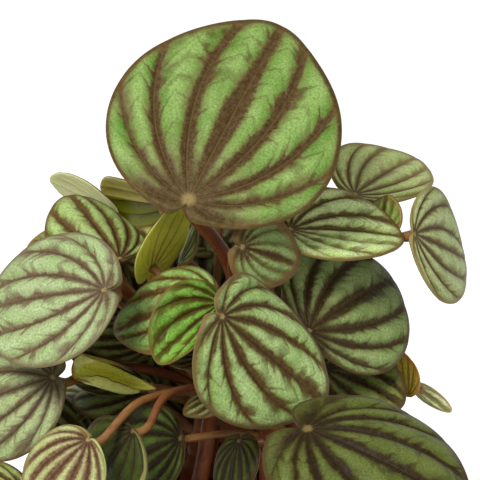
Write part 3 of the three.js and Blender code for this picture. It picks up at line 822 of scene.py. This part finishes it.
def upper_pattern():
    """Striped upper face: green bands between dark veins, side veins, net, margin, stalk spot."""
    tree, g, given, result = new_pattern(
        "leaf_upper_pattern",
        ("seed", "stripe", "rib", "plain", "base", "margin", "strip", "side", "net", "smoke", "spot",
         "reach", "spacing", "tone"),
        ("green", "silver", "dark", "haze", "vein", "edge", "spot_colour", "strip_colour"),
        ("colour", "height", "roughness"),
    )
    fade, mix = g.fade, g.mix
    place, gap, edge, reach, branch = g.numbers("place", "gap", "edge", "reach", "branch")
    blade = g.vector("blade")
    flat = g.shifted(blade, g.join(given.seed, given.seed * 1.7))
    along = reach / given.reach

    # Noise of several sizes, in millimetres
    slow = g.noise(flat, 0.09)
    broad = g.noise(g.shifted(flat, (5.0, 9.0, 0.0)), 0.24)
    ragged = g.noise(g.shifted(flat, (17.0, 3.0, 0.0)), 0.7, 3.0, 0.6)
    grain = g.noise(g.shifted(flat, (2.0, 23.0, 0.0)), 1.5, 2.0, 0.6)
    dust = g.noise(g.shifted(flat, (31.0, 7.0, 0.0)), 4.6, 1.0)
    rough = (ragged - 0.5) * 2.6 + (grain - 0.5) * 2.4 + (dust - 0.5) * 1.4

    # Main veins, and how far towards the middle of the band between two a point is
    nearest, away = vein_distance(place, gap)
    in_band = g.least(away / (gap * 0.5 + 0.01), 1.0)

    # Side veins are the borders of cells that lie across the band, other ones in each band
    right = g.part(blade, 0)
    band_of = math.floor(place) * 17.3 + (right > 0.0) * 5.9
    across = (place - math.floor(place) - 0.5) * gap * 0.26 / given.spacing
    run = branch + (ragged - 0.5) * 0.3
    lattice = g.join(run + (band_of + given.seed), across + band_of)
    off_side = g.cells(lattice, 0.75) * given.spacing
    strong = fade(g.noise(g.shifted(flat, (9.0, 41.0, 0.0)), 0.16, 1.0), 0.4, 0.58, 0.2, 1.0)
    off_fine = g.cells(g.join((run + band_of) * 1.9, across * 5.0)) * (given.spacing * 0.53)

    # Stripes beside the middle one are faint on one half, or with 2 on both
    side_now = g.math("SIGN", right)
    quiet = g.most(given.plain * side_now, abs(given.plain) - 1.0, clamp=True)
    quiet = 1.0 - quiet * (nearest > 0.5)

    # Main stripes, with spurs where side veins leave
    spur = fade(off_side, 1.3, 0.1) * strong * fade(in_band, 0.95, 0.25) * fade(quiet, 0.0, 1.0, 0.3, 1.0)
    wide = given.stripe * fade(along, 0.1, 1.0, 1.15, 0.72) * fade(nearest, 1.2, 3.8, 1.0, 0.16)
    rib = (given.rib - 1.0) * fade(along, 0.3, 0.85, 1.0, 0.12)
    wide = wide * (1.0 + (nearest < 0.5) * rib) * (0.62 + broad * 0.76) + spur * given.side * 0.9
    wide = g.least(wide, gap * 0.3)
    soft = 0.3 + given.stripe * 0.3
    past = away - wide + rough * (soft * 0.55)
    stripe = fade(past / soft, -0.8, 1.0, 1.0, 0.0) * fade(nearest, 2.5, 4.2, 1.0, 0.45)
    stripe = stripe * fade(quiet, 0.0, 1.0, 0.3, 1.0)
    halo = fade(past / (soft + 0.3), -0.3, 1.9, 1.0, 0.0) * fade(quiet, 0.0, 1.0, 0.45, 1.0)

    # They merge towards the stalk, and have a grey haze beside them
    base_in = reach + (rough * 1.3 + (broad - 0.5) * given.base) + (in_band - 0.6) * (given.base * 0.5)
    base = fade(base_in, given.base * 1.4, given.base * 0.6) * fade(in_band, 0.3, 1.0, 1.0, 0.9)
    stripe = g.most(stripe, base)
    halo = g.most(halo, fade(base_in, given.base * 2.3, given.base * 0.9))
    smoke = fade(slow, 0.46, 0.6) * fade(away, 5.5, 0.8)
    halo = g.most(halo, smoke * given.smoke * (0.8 + rough * 0.5))

    # Side veins taper and fade towards the middle of the band
    side_wide = fade(in_band, 0.0, 0.9, 0.42, 0.14) * (0.4 + strong * 0.6)
    side_line = fade(off_side - side_wide + rough * 0.05, -0.1, 0.34, 1.0, 0.0)
    side_vein = side_line * fade(in_band, 0.25, 0.85, 1.0, 0.45) * given.side * (0.12 + strong * 0.88)
    net = fade(off_fine, 0.3, 0.05) * fade(broad, 0.35, 0.6, 0.25, 1.0) * given.net
    side_halo = fade(off_side, 1.5, 0.1) * strong * fade(in_band, 0.9, 0.3, 0.1, 1.0) * given.side

    # Green bands, paler in the middle, with fine grains
    patch = fade(slow, 0.36, 0.62) * 0.5 + fade(in_band, 0.2, 0.9) * 0.5
    speck = fade(grain * 0.6 + dust * 0.4, 0.3, 0.7)
    speck = mix(speck, (0.62, 0.64, 0.6), (1.34, 1.32, 1.36))
    band = mix(1.0, mix(patch, given.green, given.silver), speck, "MULTIPLY")
    band = mix(side_halo * 0.3, band, given.haze)
    band = mix(net * 0.22, band, given.haze)
    band = mix(side_vein * 0.92, band, given.dark)
    band = mix(halo * (0.62 + rough * 0.25), band, given.haze)
    shade = fade(ragged * 0.6 + grain * 0.4, 0.36, 0.66, 0.0, 0.5)
    painted = mix(stripe, band, mix(shade, given.dark, given.haze))
    core = fade(away, 0.5, 0.1) * fade(along, 0.95, 0.5) * fade(nearest, 2.0, 4.0, 1.0, 0.45)
    core = core * fade(quiet, 0.0, 1.0, 0.35, 1.0)
    painted = mix(core * 0.6, painted, given.vein)

    # Margin, broader where a stripe meets it
    margin_wide = given.margin * (0.6 + broad * 0.8) + fade(away, 2.0, 0.3) * (given.stripe * 0.7)
    margin_past = edge - margin_wide + rough * 0.3
    margin = fade(margin_past, -0.6, 0.7, 1.0, 0.0)
    margin_halo = fade(margin_past, 0.0, 2.2, 1.0, 0.0) * 0.5
    painted = mix(margin_halo * (1.0 - stripe * 0.7), painted, given.haze)
    painted = mix(margin * 0.9, painted, mix(fade(ragged, 0.35, 0.7, 0.0, 0.6), given.edge, given.haze))
    one_side = g.most(given.strip * side_now, 0.0)
    strip = fade(edge - (one_side + rough * 0.1), 0.1, -0.5) * fade(one_side, 0.0, 0.3)
    painted = mix(strip, painted, given.strip_colour)
    painted = mix(fade(edge, 0.4, 0.05) * 0.8, painted, mix(0.08, given.edge, given.spot_colour))

    # The pale spot over the stalk, the leaf's tone, partly its own colour and partly painted light and
    # painted shade, and small painted glints
    spot = fade(reach + rough * 0.5, given.spot, given.spot * 0.3)
    painted = mix(spot * 0.85, painted, given.spot_colour)
    painted = mix(1.0, painted, g.scaled((1.0, 1.0, 1.0), given.tone), "MULTIPLY")
    glint = fade(g.noise(flat, 2.9, 1.0), 0.79, 0.86, 0.0, 0.55)
    g.put(result["colour"], mix(glint, painted, (0.72, 0.71, 0.62)))

    # Fine relief in millimetres: pillows between the side veins, and grains
    pillow = fade(off_side, 0.1, 2.4) * fade(away, 0.2, 2.2)
    height = pillow * ((0.12 + strong * 0.34) * fade(in_band, 1.0, 0.3, 0.5, 1.0)) + broad * 0.5
    height = height + fade(off_fine, 0.0, 0.8) * 0.03 + (grain * 0.16 + dust * 0.05)
    g.put(result["height"], height * fade(edge, 0.0, 1.6) - core * 0.14)
    g.put(result["roughness"], g.noise(flat, 0.9, 3.0) * 0.18 + stripe * 0.05)
    return tree


def under_pattern():
    """Matt under face: olive or purple-green with thin raised brown veins."""
    tree, g, given, result = new_pattern(
        "leaf_under_pattern", ("seed", "reach", "halves"), ("under", "under_2", "under_vein", "under_rim"),
        ("colour", "height"),
    )
    fade, mix = g.fade, g.mix
    place, gap, edge, reach, branch = g.numbers("place", "gap", "edge", "reach", "branch")
    blade = g.vector("blade")
    flat = g.shifted(blade, g.join(given.seed, given.seed * 1.7))
    nearest, away = vein_distance(place, gap)
    line = fade(away, fade(reach / given.reach, 0.0, 1.0, 0.6, 0.26), 0.05)
    line = line * fade(nearest, 0.5, 3.0, 1.0, 0.2)
    broad = g.noise(flat, 0.3)
    branch = branch + (broad - 0.5) * 0.4
    side = fade(abs(branch - round(branch)), 0.07, 0.02) * fade(broad, 0.35, 0.6)
    tone = fade(g.noise(flat, 0.12, 3.0), 0.35, 0.65)
    # With halves, the left half takes under and the right half under_2: painted light on one half and painted
    # shade on the other.
    tone = tone * (1.0 - given.halves) + fade(g.part(blade, 0), -0.2, 0.2) * given.halves
    grains = mix(g.noise(flat, 1.7, 3.0, 0.7), (0.78, 0.78, 0.78), (1.22, 1.22, 1.22))
    painted = mix(1.0, mix(tone, given.under, given.under_2), grains, "MULTIPLY")
    painted = mix(side * 0.25, painted, given.under_vein)
    painted = mix(line * 0.8, painted, given.under_vein)
    painted = mix(fade(edge, 0.5, 0.15, 0.0, 0.7), painted, given.under_rim)
    g.put(result["colour"], painted)
    g.put(result["height"], line * 0.35 + side * 0.1)
    return tree


def new_material(name, fixed):
    """A material with its graph and its shader's sockets. fixed: what is the same all over."""
    made = bpy.data.materials.new(name)
    made.use_nodes = True
    made.node_tree.nodes.clear()
    g = Graph(made.node_tree)
    shader = g.node("BsdfPrincipled")
    g.tree.links.new(shader.outputs[0], g.node("OutputMaterial").inputs[0])
    for key, value in fixed.items():
        shader.inputs[key].default_value = value
    return made, g, shader.inputs


def finish_material(g, inputs, paint, height, strength, distance, roughness=None):
    """Colour, relief and, unless it is the same all over, roughness."""
    g.put(inputs["Base Color"], paint)
    g.put(inputs["Roughness"], roughness)
    values = {"Strength": strength, "Distance": distance * MM, "Height": height}
    g.put(inputs["Normal"], g.make("Bump", values))


def light_through(share):
    return {
        "Subsurface Weight": share, "Subsurface Radius": (1.0, 0.9, 0.4), "Subsurface Scale": 1.6 * MM,
    }


def use_pattern(g, tree, values):
    """The results of a pattern, which takes its own inputs from the values."""
    made = g.node("Group", node_tree=tree)
    for socket in made.inputs:
        g.put(socket, values[socket.name])
    return [Value(g, socket) for socket in made.outputs]


def leaf_materials(leaf, number, look, patterns):
    """The materials of a leaf's upper and under face."""
    values = {key: colour(value) if isinstance(value, str) else value for key, value in look.items()}
    values.update(
        seed=PATTERN_STEP * number, reach=leaf["length"], spacing=side_vein_spacing(leaf["length"]),
    )
    through = light_through(look["thin"])
    sheen = {"Specular IOR Level": 0.2, "Sheen Weight": 0.03, "Sheen Roughness": 0.45}
    upper, g, inputs = new_material(leaf["name"] + "_upper", {**sheen, **through})
    paint, height, roughness = use_pattern(g, patterns[0], values)
    finish_material(g, inputs, paint, height, 1.0, 1.0, roughness + look["rough"])
    matt = {"Roughness": 0.5, "Specular IOR Level": 0.3}
    under, g, inputs = new_material(leaf["name"] + "_under", {**matt, **through})
    paint, height = use_pattern(g, patterns[1], values)
    finish_material(g, inputs, paint, height, 0.8, 1.0)
    return upper, under


def catmull_rom(points, count):
    """A centripetal curve through the points, as count points at equal distances."""
    points = np.asarray(points, float)
    whole = np.concatenate([[2 * points[0] - points[1]], points, [2 * points[-1] - points[-2]]])
    t = np.linspace(0, 1, 40, endpoint=False)[:, None]
    dense = []
    for i in range(len(points) - 1):
        p0, p1, p2, p3 = whole[i:i + 4]
        d0, d1, d2 = (max(np.linalg.norm(b - a), 1e-4) ** 0.5 for a, b in ((p0, p1), (p1, p2), (p2, p3)))
        t1 = ((p1 - p0) / d0 - (p2 - p0) / (d0 + d1) + (p2 - p1) / d1) * d1
        t2 = ((p2 - p1) / d1 - (p3 - p1) / (d1 + d2) + (p3 - p2) / d2) * d1
        square = (-3 * p1 + 3 * p2 - 2 * t1 - t2) * t ** 2
        dense.append(p1 + t1 * t + square + (2 * p1 - 2 * p2 + t1 + t2) * t ** 3)
    return evenly(np.concatenate(dense + [points[-1:]]), count)


def bezier(a, b, c, d, count):
    t = np.linspace(0, 1, 120)[:, None]
    return evenly(a * (1 - t) ** 3 + 3 * b * t * (1 - t) ** 2 + 3 * c * t ** 2 * (1 - t) + d * t ** 3, count)


def evenly(path, count):
    steps = np.linalg.norm(np.diff(path, axis=0), axis=1)
    length = np.concatenate([[0], np.cumsum(steps)])
    want = np.linspace(0, length[-1], count)
    return np.stack([np.interp(want, length, path[:, k]) for k in range(3)], -1)


def stem_path(stem, count):
    (x, y), (cx, cy, cz) = STEMS[stem]
    return catmull_rom([
        (x, y, STEM_FOOT),
        (x, y, (STEM_FOOT + SOIL_TOP) / 2),
        (x, y, SOIL_TOP + 2),
        (cx + (x - cx) * 0.4, cy + (y - cy) * 0.4, SOIL_TOP + (cz - SOIL_TOP) * 0.5),
        (cx, cy, cz),
    ], count)


def stalk_path(leaf):
    """The stalk's middle line, out of its stem, in an arch or past given points, to the blade."""
    _, along, face = blade_axes(leaf)
    radius = leaf.get("stalk", LARGE_STALK_RADIUS if leaf["length"] > LARGE_LEAF else SMALL_STALK_RADIUS)
    lean = leaf.get("lean", STALK_LEAN)
    arrive = unit(face + lean * along)
    under = BLADE_THICKNESS / 2 + CLEARANCE + lean / math.hypot(1, lean) * radius
    end = np.array(leaf["at"]) + along * STALK_INSET - face * under
    stem = stem_path(leaf["stem"], 400)
    start = stem[np.argmin(np.abs(stem[:, 2] - leaf["start"]))]
    if "via" in leaf:
        return catmull_rom([start, *leaf["via"], end - 4 * arrive, end], STALK_ROWS), radius
    reach = np.linalg.norm(end - start)
    leave = unit((end - start) / reach + np.array([0, 0, 0.5]))
    path = bezier(start, start + leave * reach * 0.35, end - arrive * reach * 0.3, end, STALK_ROWS)
    return path, radius


def tube_points(path, radii, columns):
    """Rings of points round a path, without twist. radii: for each row, and each column or 1."""
    tangent = unit(np.gradient(path, axis=0))
    side = np.cross(tangent[0], [0.3, 0.2, 0.9])
    sides = []
    for t in tangent:
        side = unit(side - t * (side @ t))
        sides.append(side)
    sides = np.array(sides)
    others = np.cross(tangent, sides)
    angle = directions(columns)
    ring = sides[:, None] * np.cos(angle)[:, None] + others[:, None] * np.sin(angle)[:, None]
    return path[:, None] + ring * radii[..., None]


class Solids:
    """Several closed grids gathered into one mesh, with numbers for each point."""

    def __init__(self, *names):
        self.points, self.faces, self.count = [], [], 0
        self.numbers = {name: [] for name in names}

    def grid(self, rings, **numbers):
        """Adds rows of points round a solid, closed by a point in the middle of each end."""
        rows, columns = rings.shape[:2]
        first = self.count
        low = first + rows * columns
        self.faces += grid_faces(rows, columns, first)
        ends = zip(fan(low, first, columns), fan(low + 1, low - columns, columns, flip=True))
        self.faces += [face for pair in ends for face in pair]
        self.points.append(np.concatenate([rings.reshape(-1, 3), [rings[0].mean(0), rings[-1].mean(0)]]))
        for name, kept in self.numbers.items():
            grid = np.broadcast_to(numbers[name], (rows, columns))
            kept.append(np.concatenate([grid.ravel(), [grid[0].mean(), grid[-1].mean()]]))
        self.count = low + 2

    def tube(self, path, radii, columns, along, line=1.0, **numbers):
        """Adds a tube, with how far along and round it each point is. line: strength of the latter."""
        around = line * np.sin(directions(columns))
        self.grid(tube_points(path, radii, columns), along=along[:, None], round=around, **numbers)

    def make(self, name):
        made = mesh_object(name, np.concatenate(self.points), self.faces)
        for key, kept in self.numbers.items():
            store(made, key, np.concatenate(kept))
        return made


def add_buds(solids, crown, number):
    """Two small folded leaves at the end of a stem."""
    share = np.linspace(0, 1, 12)
    for k in range(2):
        lean = (chance(number, 60 + k) - 0.5) * 0.9
        way = chance(number, 70 + k) * 2 * math.pi
        axis = unit(np.array([math.cos(way) * lean, math.sin(way) * lean, 1.0]))
        size = BUD_LENGTH - 1.5 * k
        path = np.array(crown) + axis * (share * size - 1.5)[:, None]
        belly = np.sin(math.pi * np.clip(share * 0.93 + 0.07, 0, 1)) ** 0.8
        radii = BUD_RADIUS * belly * (1 - 0.25 * share) + 0.05
        solids.tube(path, radii[:, None], 12, share * size, tint=1.0)


def make_stem(stem, leaves, number):
    """A fleshy stem with its stalks: rings where stalks leave, buds at the crown."""
    solids = Solids("along", "round", "tint")
    path = stem_path(stem, STEM_ROWS)
    share = np.linspace(0, 1, STEM_ROWS)
    radii = STEM_RADIUS * (1.02 - STEM_TAPER * share)
    for leaf in leaves:
        radii = radii + RING_HEIGHT * bell(path[:, 2] - leaf["start"], RING_SPREAD)
    radii = np.minimum(radii, STEM_RADIUS * 1.25)
    solids.tube(path, radii[:, None], STEM_COLUMNS, share * 70, tint=0.15)
    groove = 1 - STALK_GROOVE * bell(directions(STALK_COLUMNS) - 2, 0.5)
    for i, leaf in enumerate(leaves):
        path, radius = stalk_path(leaf)
        path = np.concatenate([path, [path[-1] + unit(path[-1] - path[-2]) * STALK_SUNK]])
        share = np.linspace(0, 1, len(path))
        swell = 1 + FOOT_SWELL * bell(share, 0.06) + END_SWELL * bell(1 - share, 0.05)
        swell *= 1 + 0.035 * np.sin(share * 17 + 5 * chance(number, i)) * (share > 0.1)
        length = np.linalg.norm(np.diff(path, axis=0), axis=1).sum()
        tint = STALK_TINTS.get(leaf["name"], 0.2 + 0.35 * chance(number, i + 50))
        tint = tint + (0.85 - tint) * np.clip((share - 0.8) / 0.2, 0, 1) * 0.8
        radii = radius * swell[:, None] * groove
        solids.tube(path, radii, STALK_COLUMNS, share * length, tint=tint[:, None])
    add_buds(solids, STEMS[stem][1], number)
    return solids.make(stem + "_fine")


def make_rolls(leaf):
    """The rolled-in margins of the young curled leaf, as tapering rolls along its outline."""
    solids = Solids("along", "round")
    share = np.linspace(0, 1, 48)
    for k, (start, stop, size, inset, line) in enumerate(YOUNG_ROLLS):
        x, y = outline_point(leaf, start + (stop - start) * share)
        x, y = x * inset, y * inset
        taper = np.sin(math.pi * np.clip(0.04 + 0.94 * share, 0, 1)) ** 0.7
        taper *= 1 + 0.05 * np.sin(share * 19 + k) + 0.03 * np.sin(share * 41)
        radii = (size * taper)[:, None]
        middle = bend(leaf, x, y) + blade_normal(leaf, x, y) * radii * 0.8
        path = np.array(leaf["at"]) + middle @ np.stack(blade_axes(leaf))
        solids.tube(path, radii, 16, share * 20, line)
    return solids.make(leaf["name"] + "_rolled_margins")


def inner_radius(z):
    return POT_BASE_RADIUS + POT_SLOPE * z - POT_WALL


def lathe(profile, columns):
    """Rings of points from a profile of radius and height."""
    angle = directions(columns)
    profile = np.asarray(profile, float)
    return np.stack([
        profile[:, :1] * np.cos(angle), profile[:, :1] * np.sin(angle),
        np.repeat(profile[:, 1:], columns, 1),
    ], -1)


def rounded(corners, radius, steps=4):
    """A profile whose inner corners are rounded off."""
    corners = [np.array(corner, float) for corner in corners]
    out = [corners[0]]
    for a, b, c in zip(corners, corners[1:], corners[2:]):
        r = min(radius, np.linalg.norm(a - b) * 0.45, np.linalg.norm(c - b) * 0.45)
        start, stop = b + unit(a - b) * r, b + unit(c - b) * r
        for t in np.linspace(0, 1, steps + 1):
            out.append(start * (1 - t) ** 2 + 2 * b * t * (1 - t) + stop * t ** 2)
    return np.array(out + [corners[-1]])


def make_pot():
    """The pot with its collar, cut through by its drain holes."""
    rim_foot = POT_HEIGHT - RIM_HEIGHT
    rim = POT_TOP_RADIUS + RIM_OVERHANG
    mouth = inner_radius(POT_HEIGHT)
    profile = rounded([
        (AXIS, 0), (POT_BASE_RADIUS - 1, 0), (POT_BASE_RADIUS, 1),
        (POT_BASE_RADIUS + POT_SLOPE * rim_foot, rim_foot), (rim - 1, rim_foot + 0.5), (rim, rim_foot + 2),
        (rim, POT_HEIGHT - 1), (rim - 1, POT_HEIGHT), (mouth + 0.8, POT_HEIGHT), (mouth, POT_HEIGHT - 0.8),
        (inner_radius(POT_FLOOR), POT_FLOOR), (AXIS, POT_FLOOR),
    ], POT_ROUNDING)
    body, drains = Solids(), Solids()
    body.grid(lathe(profile, POT_COLUMNS))
    pot = body.make("pot_fine")
    for turn in directions(DRAIN_COUNT):
        middle = np.array([math.cos(turn), math.sin(turn), 0]) * DRAIN_RING_RADIUS
        ends = [(DRAIN_RADIUS, -2 * POT_FLOOR), (DRAIN_RADIUS, 2 * POT_FLOOR)]
        drains.grid(lathe(ends, DRAIN_COLUMNS) + middle)
    cutter = drains.make("pot_cutter")
    cut = pot.modifiers.new("drains", "BOOLEAN")
    cut.operation = "DIFFERENCE"
    cut.object = cutter
    cut.solver = "EXACT"
    with bpy.context.temp_override(object=pot, active_object=pot):
        bpy.ops.object.modifier_apply(modifier=cut.name)
    bpy.data.objects.remove(cutter)
    pot.data.set_sharp_from_angle(angle=math.radians(SHARP_EDGE_DEGREES))
    return pot


def lump(seed, size, stretch, rings=7, columns=9):
    """Rings of points of a small rough lump, round its own middle."""
    draw = np.random.default_rng(seed)
    up = np.linspace(math.pi, 0, rings + 2)[1:-1, None]
    angle = directions(columns)
    ring = np.stack([np.sin(up) * np.cos(angle), np.sin(up) * np.sin(angle), np.cos(up) + 0 * angle], -1)
    ring = ring * (1 + 0.3 * (draw.random(ring.shape[:2]) - 0.5))[..., None] * np.array(stretch) * size
    turn, _ = np.linalg.qr(draw.normal(size=(3, 3)))
    return ring @ (turn * np.sign(np.linalg.det(turn)))


def make_soil():
    """Crumbly potting mix: a rough top with crumbs, bark and white grains, and plain sides."""
    draw = np.random.default_rng(11)
    solids = Solids("kind")
    top = inner_radius(SOIL_TOP - SOIL_DOME) - CLEARANCE
    bottom = POT_FLOOR + CLEARANCE
    r, a = np.meshgrid(np.linspace(0.02, 1, 46) * top, directions(SOIL_COLUMNS), indexing="ij")
    x, y = r * np.cos(a), r * np.sin(a)
    rough = 0
    for _ in range(SOIL_WAVES):
        way = draw.random() * 2 * math.pi
        pitch = 2 * math.pi / (2.2 + 9 * draw.random())
        rough = rough + np.sin((x * math.cos(way) + y * math.sin(way)) * pitch + 6 * draw.random()) * 0.12
    z = SOIL_TOP - SOIL_DOME * (r / top) ** 2 + rough * (1 - (r / top) ** 12)
    wall = [(inner_radius(h) - CLEARANCE, h) for h in np.linspace(SOIL_TOP - SOIL_DOME - 1, bottom, 12)]
    rings = np.concatenate([np.stack([x, y, z], -1), lathe(wall + [(AXIS, bottom)], SOIL_COLUMNS)])
    solids.grid(rings[::-1], kind=0.0)
    for kind, (count, small, large, stretch) in enumerate(SOIL_LUMPS):
        for i in range(count):
            size = small + (large - small) * draw.random() ** 1.6
            spread = math.sqrt(draw.random()) * (top - size - 0.6)
            way = draw.random() * 2 * math.pi
            height = SOIL_TOP - SOIL_DOME * (spread / top) ** 2 + size * (0.15 + 0.25 * draw.random())
            middle = np.array([spread * math.cos(way), spread * math.sin(way), height])
            rings = lump(kind * 5000 + i, size, stretch) + middle
            solids.grid(rings, kind=kind + 0.999 * draw.random() * 0.5)
    return solids.make("soil_fine")


def roll_material():
    made, g, inputs = new_material("young_leaf_roll", {
        "Roughness": 0.4, "Specular IOR Level": 0.3, **light_through(0.25),
    })
    along, around = g.numbers("along", "round")
    streak = g.noise(g.join(along * 0.5, around * 1.6), 1.6, 3.0)
    crumple = g.noise(g.millimetres(), 0.9, 3.0, 0.6)
    # Painted light: the rolls' colours are made nearly white, so that these rolls, which lie in shade, look
    # brightly lit.
    body = g.mix(g.fade(streak, 0.35, 0.65), colour("eaf264"), colour("fcffa8"))
    body = g.mix(g.fade(crumple, 0.55, 0.75), body, colour("ffffc8"))
    body = g.mix(g.fade(around, -0.72, -0.92), body, colour("a0602c"))
    finish_material(g, inputs, body, streak + crumple, 0.6, 0.4)
    return made


def stalk_material():
    made, g, inputs = new_material("stalk", {"Specular IOR Level": 0.3})
    tint, along, around = g.numbers("tint", "along", "round")
    at = g.millimetres()
    streak = g.noise(g.join(along * 0.12, around * 2.2, tint * 9.0), 2.0, 3.0)
    mottle = g.noise(at, 0.6, 4.0, 0.65)
    fleck = g.noise(at, 3.0, 2.0, 0.7)
    red = g.mix(streak, colour("6a3016"), colour("9a5630"))
    tan = g.mix(streak, colour("885a30"), colour("ae8250"))
    green = g.mix(streak, colour("6f6a2c"), colour("9a9448"))
    body = g.mix(g.fade(tint, 0.1, 0.5), red, tan)
    body = g.mix(g.fade(tint, 0.7, 1.0), body, green)
    body = g.mix(g.fade(mottle, 0.45, 0.7, 0.0, 0.4), body, colour("5a2c12"))
    body = g.mix(g.fade(fleck, 0.6, 0.75, 0.0, 0.25), body, colour("c9a27c"))
    finish_material(g, inputs, body, streak * 0.5 + fleck * 0.3, 0.5, 0.25, 0.33 + mottle * 0.2)
    return made


def soil_material():
    made, g, inputs = new_material("potting_soil", {"Roughness": 0.95, "Specular IOR Level": 0.2})
    at = g.millimetres()
    kind = g.number("kind")
    rough = g.noise(at, 0.9, 6.0, 0.7)
    dark = g.mix(rough, colour("17100b"), colour("4a3626"))
    perlite = g.mix(rough, colour("b9b2a4"), colour("efeae0"))
    bark = g.mix(g.noise(at, 1.6, 4.0), colour("3a2416"), colour("7d5535"))
    body = g.mix(kind > 1.95, g.mix(kind > 0.95, dark, perlite), bark)
    finish_material(g, inputs, body, rough, 1.0, 0.8)
    return made


def pot_material():
    made, g, inputs = new_material("pot_clay_coloured_plastic", {"Specular IOR Level": 0.35})
    at = g.millimetres()
    grain = g.noise(at, 2.2, 4.0, 0.7)
    dust = g.fade(g.part(at, 2), 14.0, 0.0) * g.fade(g.noise(at, 0.15, 4.0), 0.4, 0.7)
    body = g.mix(g.noise(at, 0.03, 4.0, 0.6), colour("9a5436"), colour("b0674a"))
    body = g.mix(g.fade(grain, 0.55, 0.8, 0.0, 0.35), body, colour("c4866a"))
    body = g.mix(dust * 0.5, body, colour("c9a990"))
    finish_material(g, inputs, body, grain, 0.5, 0.12, 0.55 + grain * 0.25)
    return made


def soft_light(name, at, size, watts, tone):
    lamp = bpy.data.lights.new(name, "AREA")
    lamp.shape = "DISK"
    lamp.size = size
    lamp.energy = watts
    lamp.color = tone
    made = bpy.data.objects.new(name, lamp)
    bpy.context.scene.collection.objects.link(made)
    made.location = at
    x, y, z = np.array(LIGHT_AIM) - np.array(at)
    made.rotation_euler = (math.atan2(math.hypot(x, y), -z), 0, math.atan2(y, x) - math.pi / 2)


def set_stage():
    """A pale floor that turns up into a pale wall behind, white surroundings and two soft lamps."""
    profile = [(FLOOR_FRONT, 0.0), (FLOOR_BACK - FLOOR_BEND, 0.0)]
    for i in range(1, 13):
        turn = i / 12 * math.pi / 2
        profile.append((FLOOR_BACK - FLOOR_BEND * (1 - math.sin(turn)), FLOOR_BEND * (1 - math.cos(turn))))
    profile.append((FLOOR_BACK, WALL_HEIGHT))
    points = [(side * FLOOR_HALF_WIDTH / MM, y / MM, z / MM - 0.05) for y, z in profile for side in (-1, 1)]
    faces = [[2 * i, 2 * i + 1, 2 * i + 3, 2 * i + 2] for i in range(len(profile) - 1)]
    floor = mesh_object("floor", points, faces)
    floor.data.materials.append(new_material("floor_paper", {
        "Base Color": (0.93, 0.93, 0.925, 1), "Roughness": 0.9, "Specular IOR Level": 0.1,
        "Emission Color": (0.97, 0.98, 1.0, 1), "Emission Strength": FLOOR_GLOW,
    })[0])
    floor.visible_diffuse = False

    world = bpy.data.worlds.new("studio")
    bpy.context.scene.world = world
    world.use_nodes = True
    back = world.node_tree.nodes["Background"]
    back.inputs["Color"].default_value = (1.0, 0.98, 0.9, 1)
    back.inputs["Strength"].default_value = WORLD_LIGHT
    for light in LIGHTS:
        soft_light(*light)


def set_camera():
    lens = bpy.data.cameras.new("camera")
    lens.sensor_fit = "HORIZONTAL"
    lens.angle = 2 * math.atan(FRAME_WIDTH / 2 / CAMERA_DISTANCE)
    lens.clip_start = 0.05
    lens.clip_end = 20
    made = bpy.data.objects.new("camera", lens)
    bpy.context.scene.collection.objects.link(made)
    tilt = CAMERA_ELEVATION * DEGREES
    back = np.array([0, -math.cos(tilt), math.sin(tilt)]) * CAMERA_DISTANCE
    made.location = (np.array(CAMERA_TARGET) + back) * MM
    made.rotation_euler = (math.pi / 2 - tilt, 0, 0)
    bpy.context.scene.camera = made


def look_of(leaf, number):
    """The usual look, with what differs on this leaf."""
    look = dict(LOOK)
    if leaf["name"].startswith(("leaf_back", "leaf_front_lowest", "leaf_inner")):
        look.update(TIER_LOOKS[number % len(TIER_LOOKS)])
    look.update(LOOKS.get(leaf["name"].removeprefix("leaf_"), {}))
    if leaf.get("inner"):
        # Painted shade: leaves deep inside the bush are made darker.
        look["tone"] *= INNER_PAINTED_SHADE
    return look


set_camera()
set_stage()
bpy.context.scene.view_settings.view_transform = "Standard"

leaves = shown_leaves() + [leaf for t, tier in enumerate(TIERS) for leaf in tier_leaves(tier, t)]
leaves += inner_leaves()
patterns = upper_pattern(), under_pattern()
for number, leaf in enumerate(leaves):
    piece = make_blade(leaf, number)
    for material in leaf_materials(leaf, number, look_of(leaf, number), patterns):
        piece.data.materials.append(material)
    if not leaf.get("inner"):
        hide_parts(leaf["name"])
    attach(piece, "root")

rolls = make_rolls(next(leaf for leaf in leaves if leaf["name"] == "leaf_young_curled"))
rolls.data.materials.append(roll_material())
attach(rolls, "root")

stalks = stalk_material()
for number, stem in enumerate(STEMS):
    piece = make_stem(stem, [leaf for leaf in leaves if leaf["stem"] == stem], number)
    piece.data.materials.append(stalks)
    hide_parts(stem)
    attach(piece, "root")

for piece, node, material in (
    (make_pot(), "pot", pot_material()),
    (make_soil(), "soil", soil_material()),
):
    piece.data.materials.append(material)
    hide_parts(node)
    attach(piece, "root")
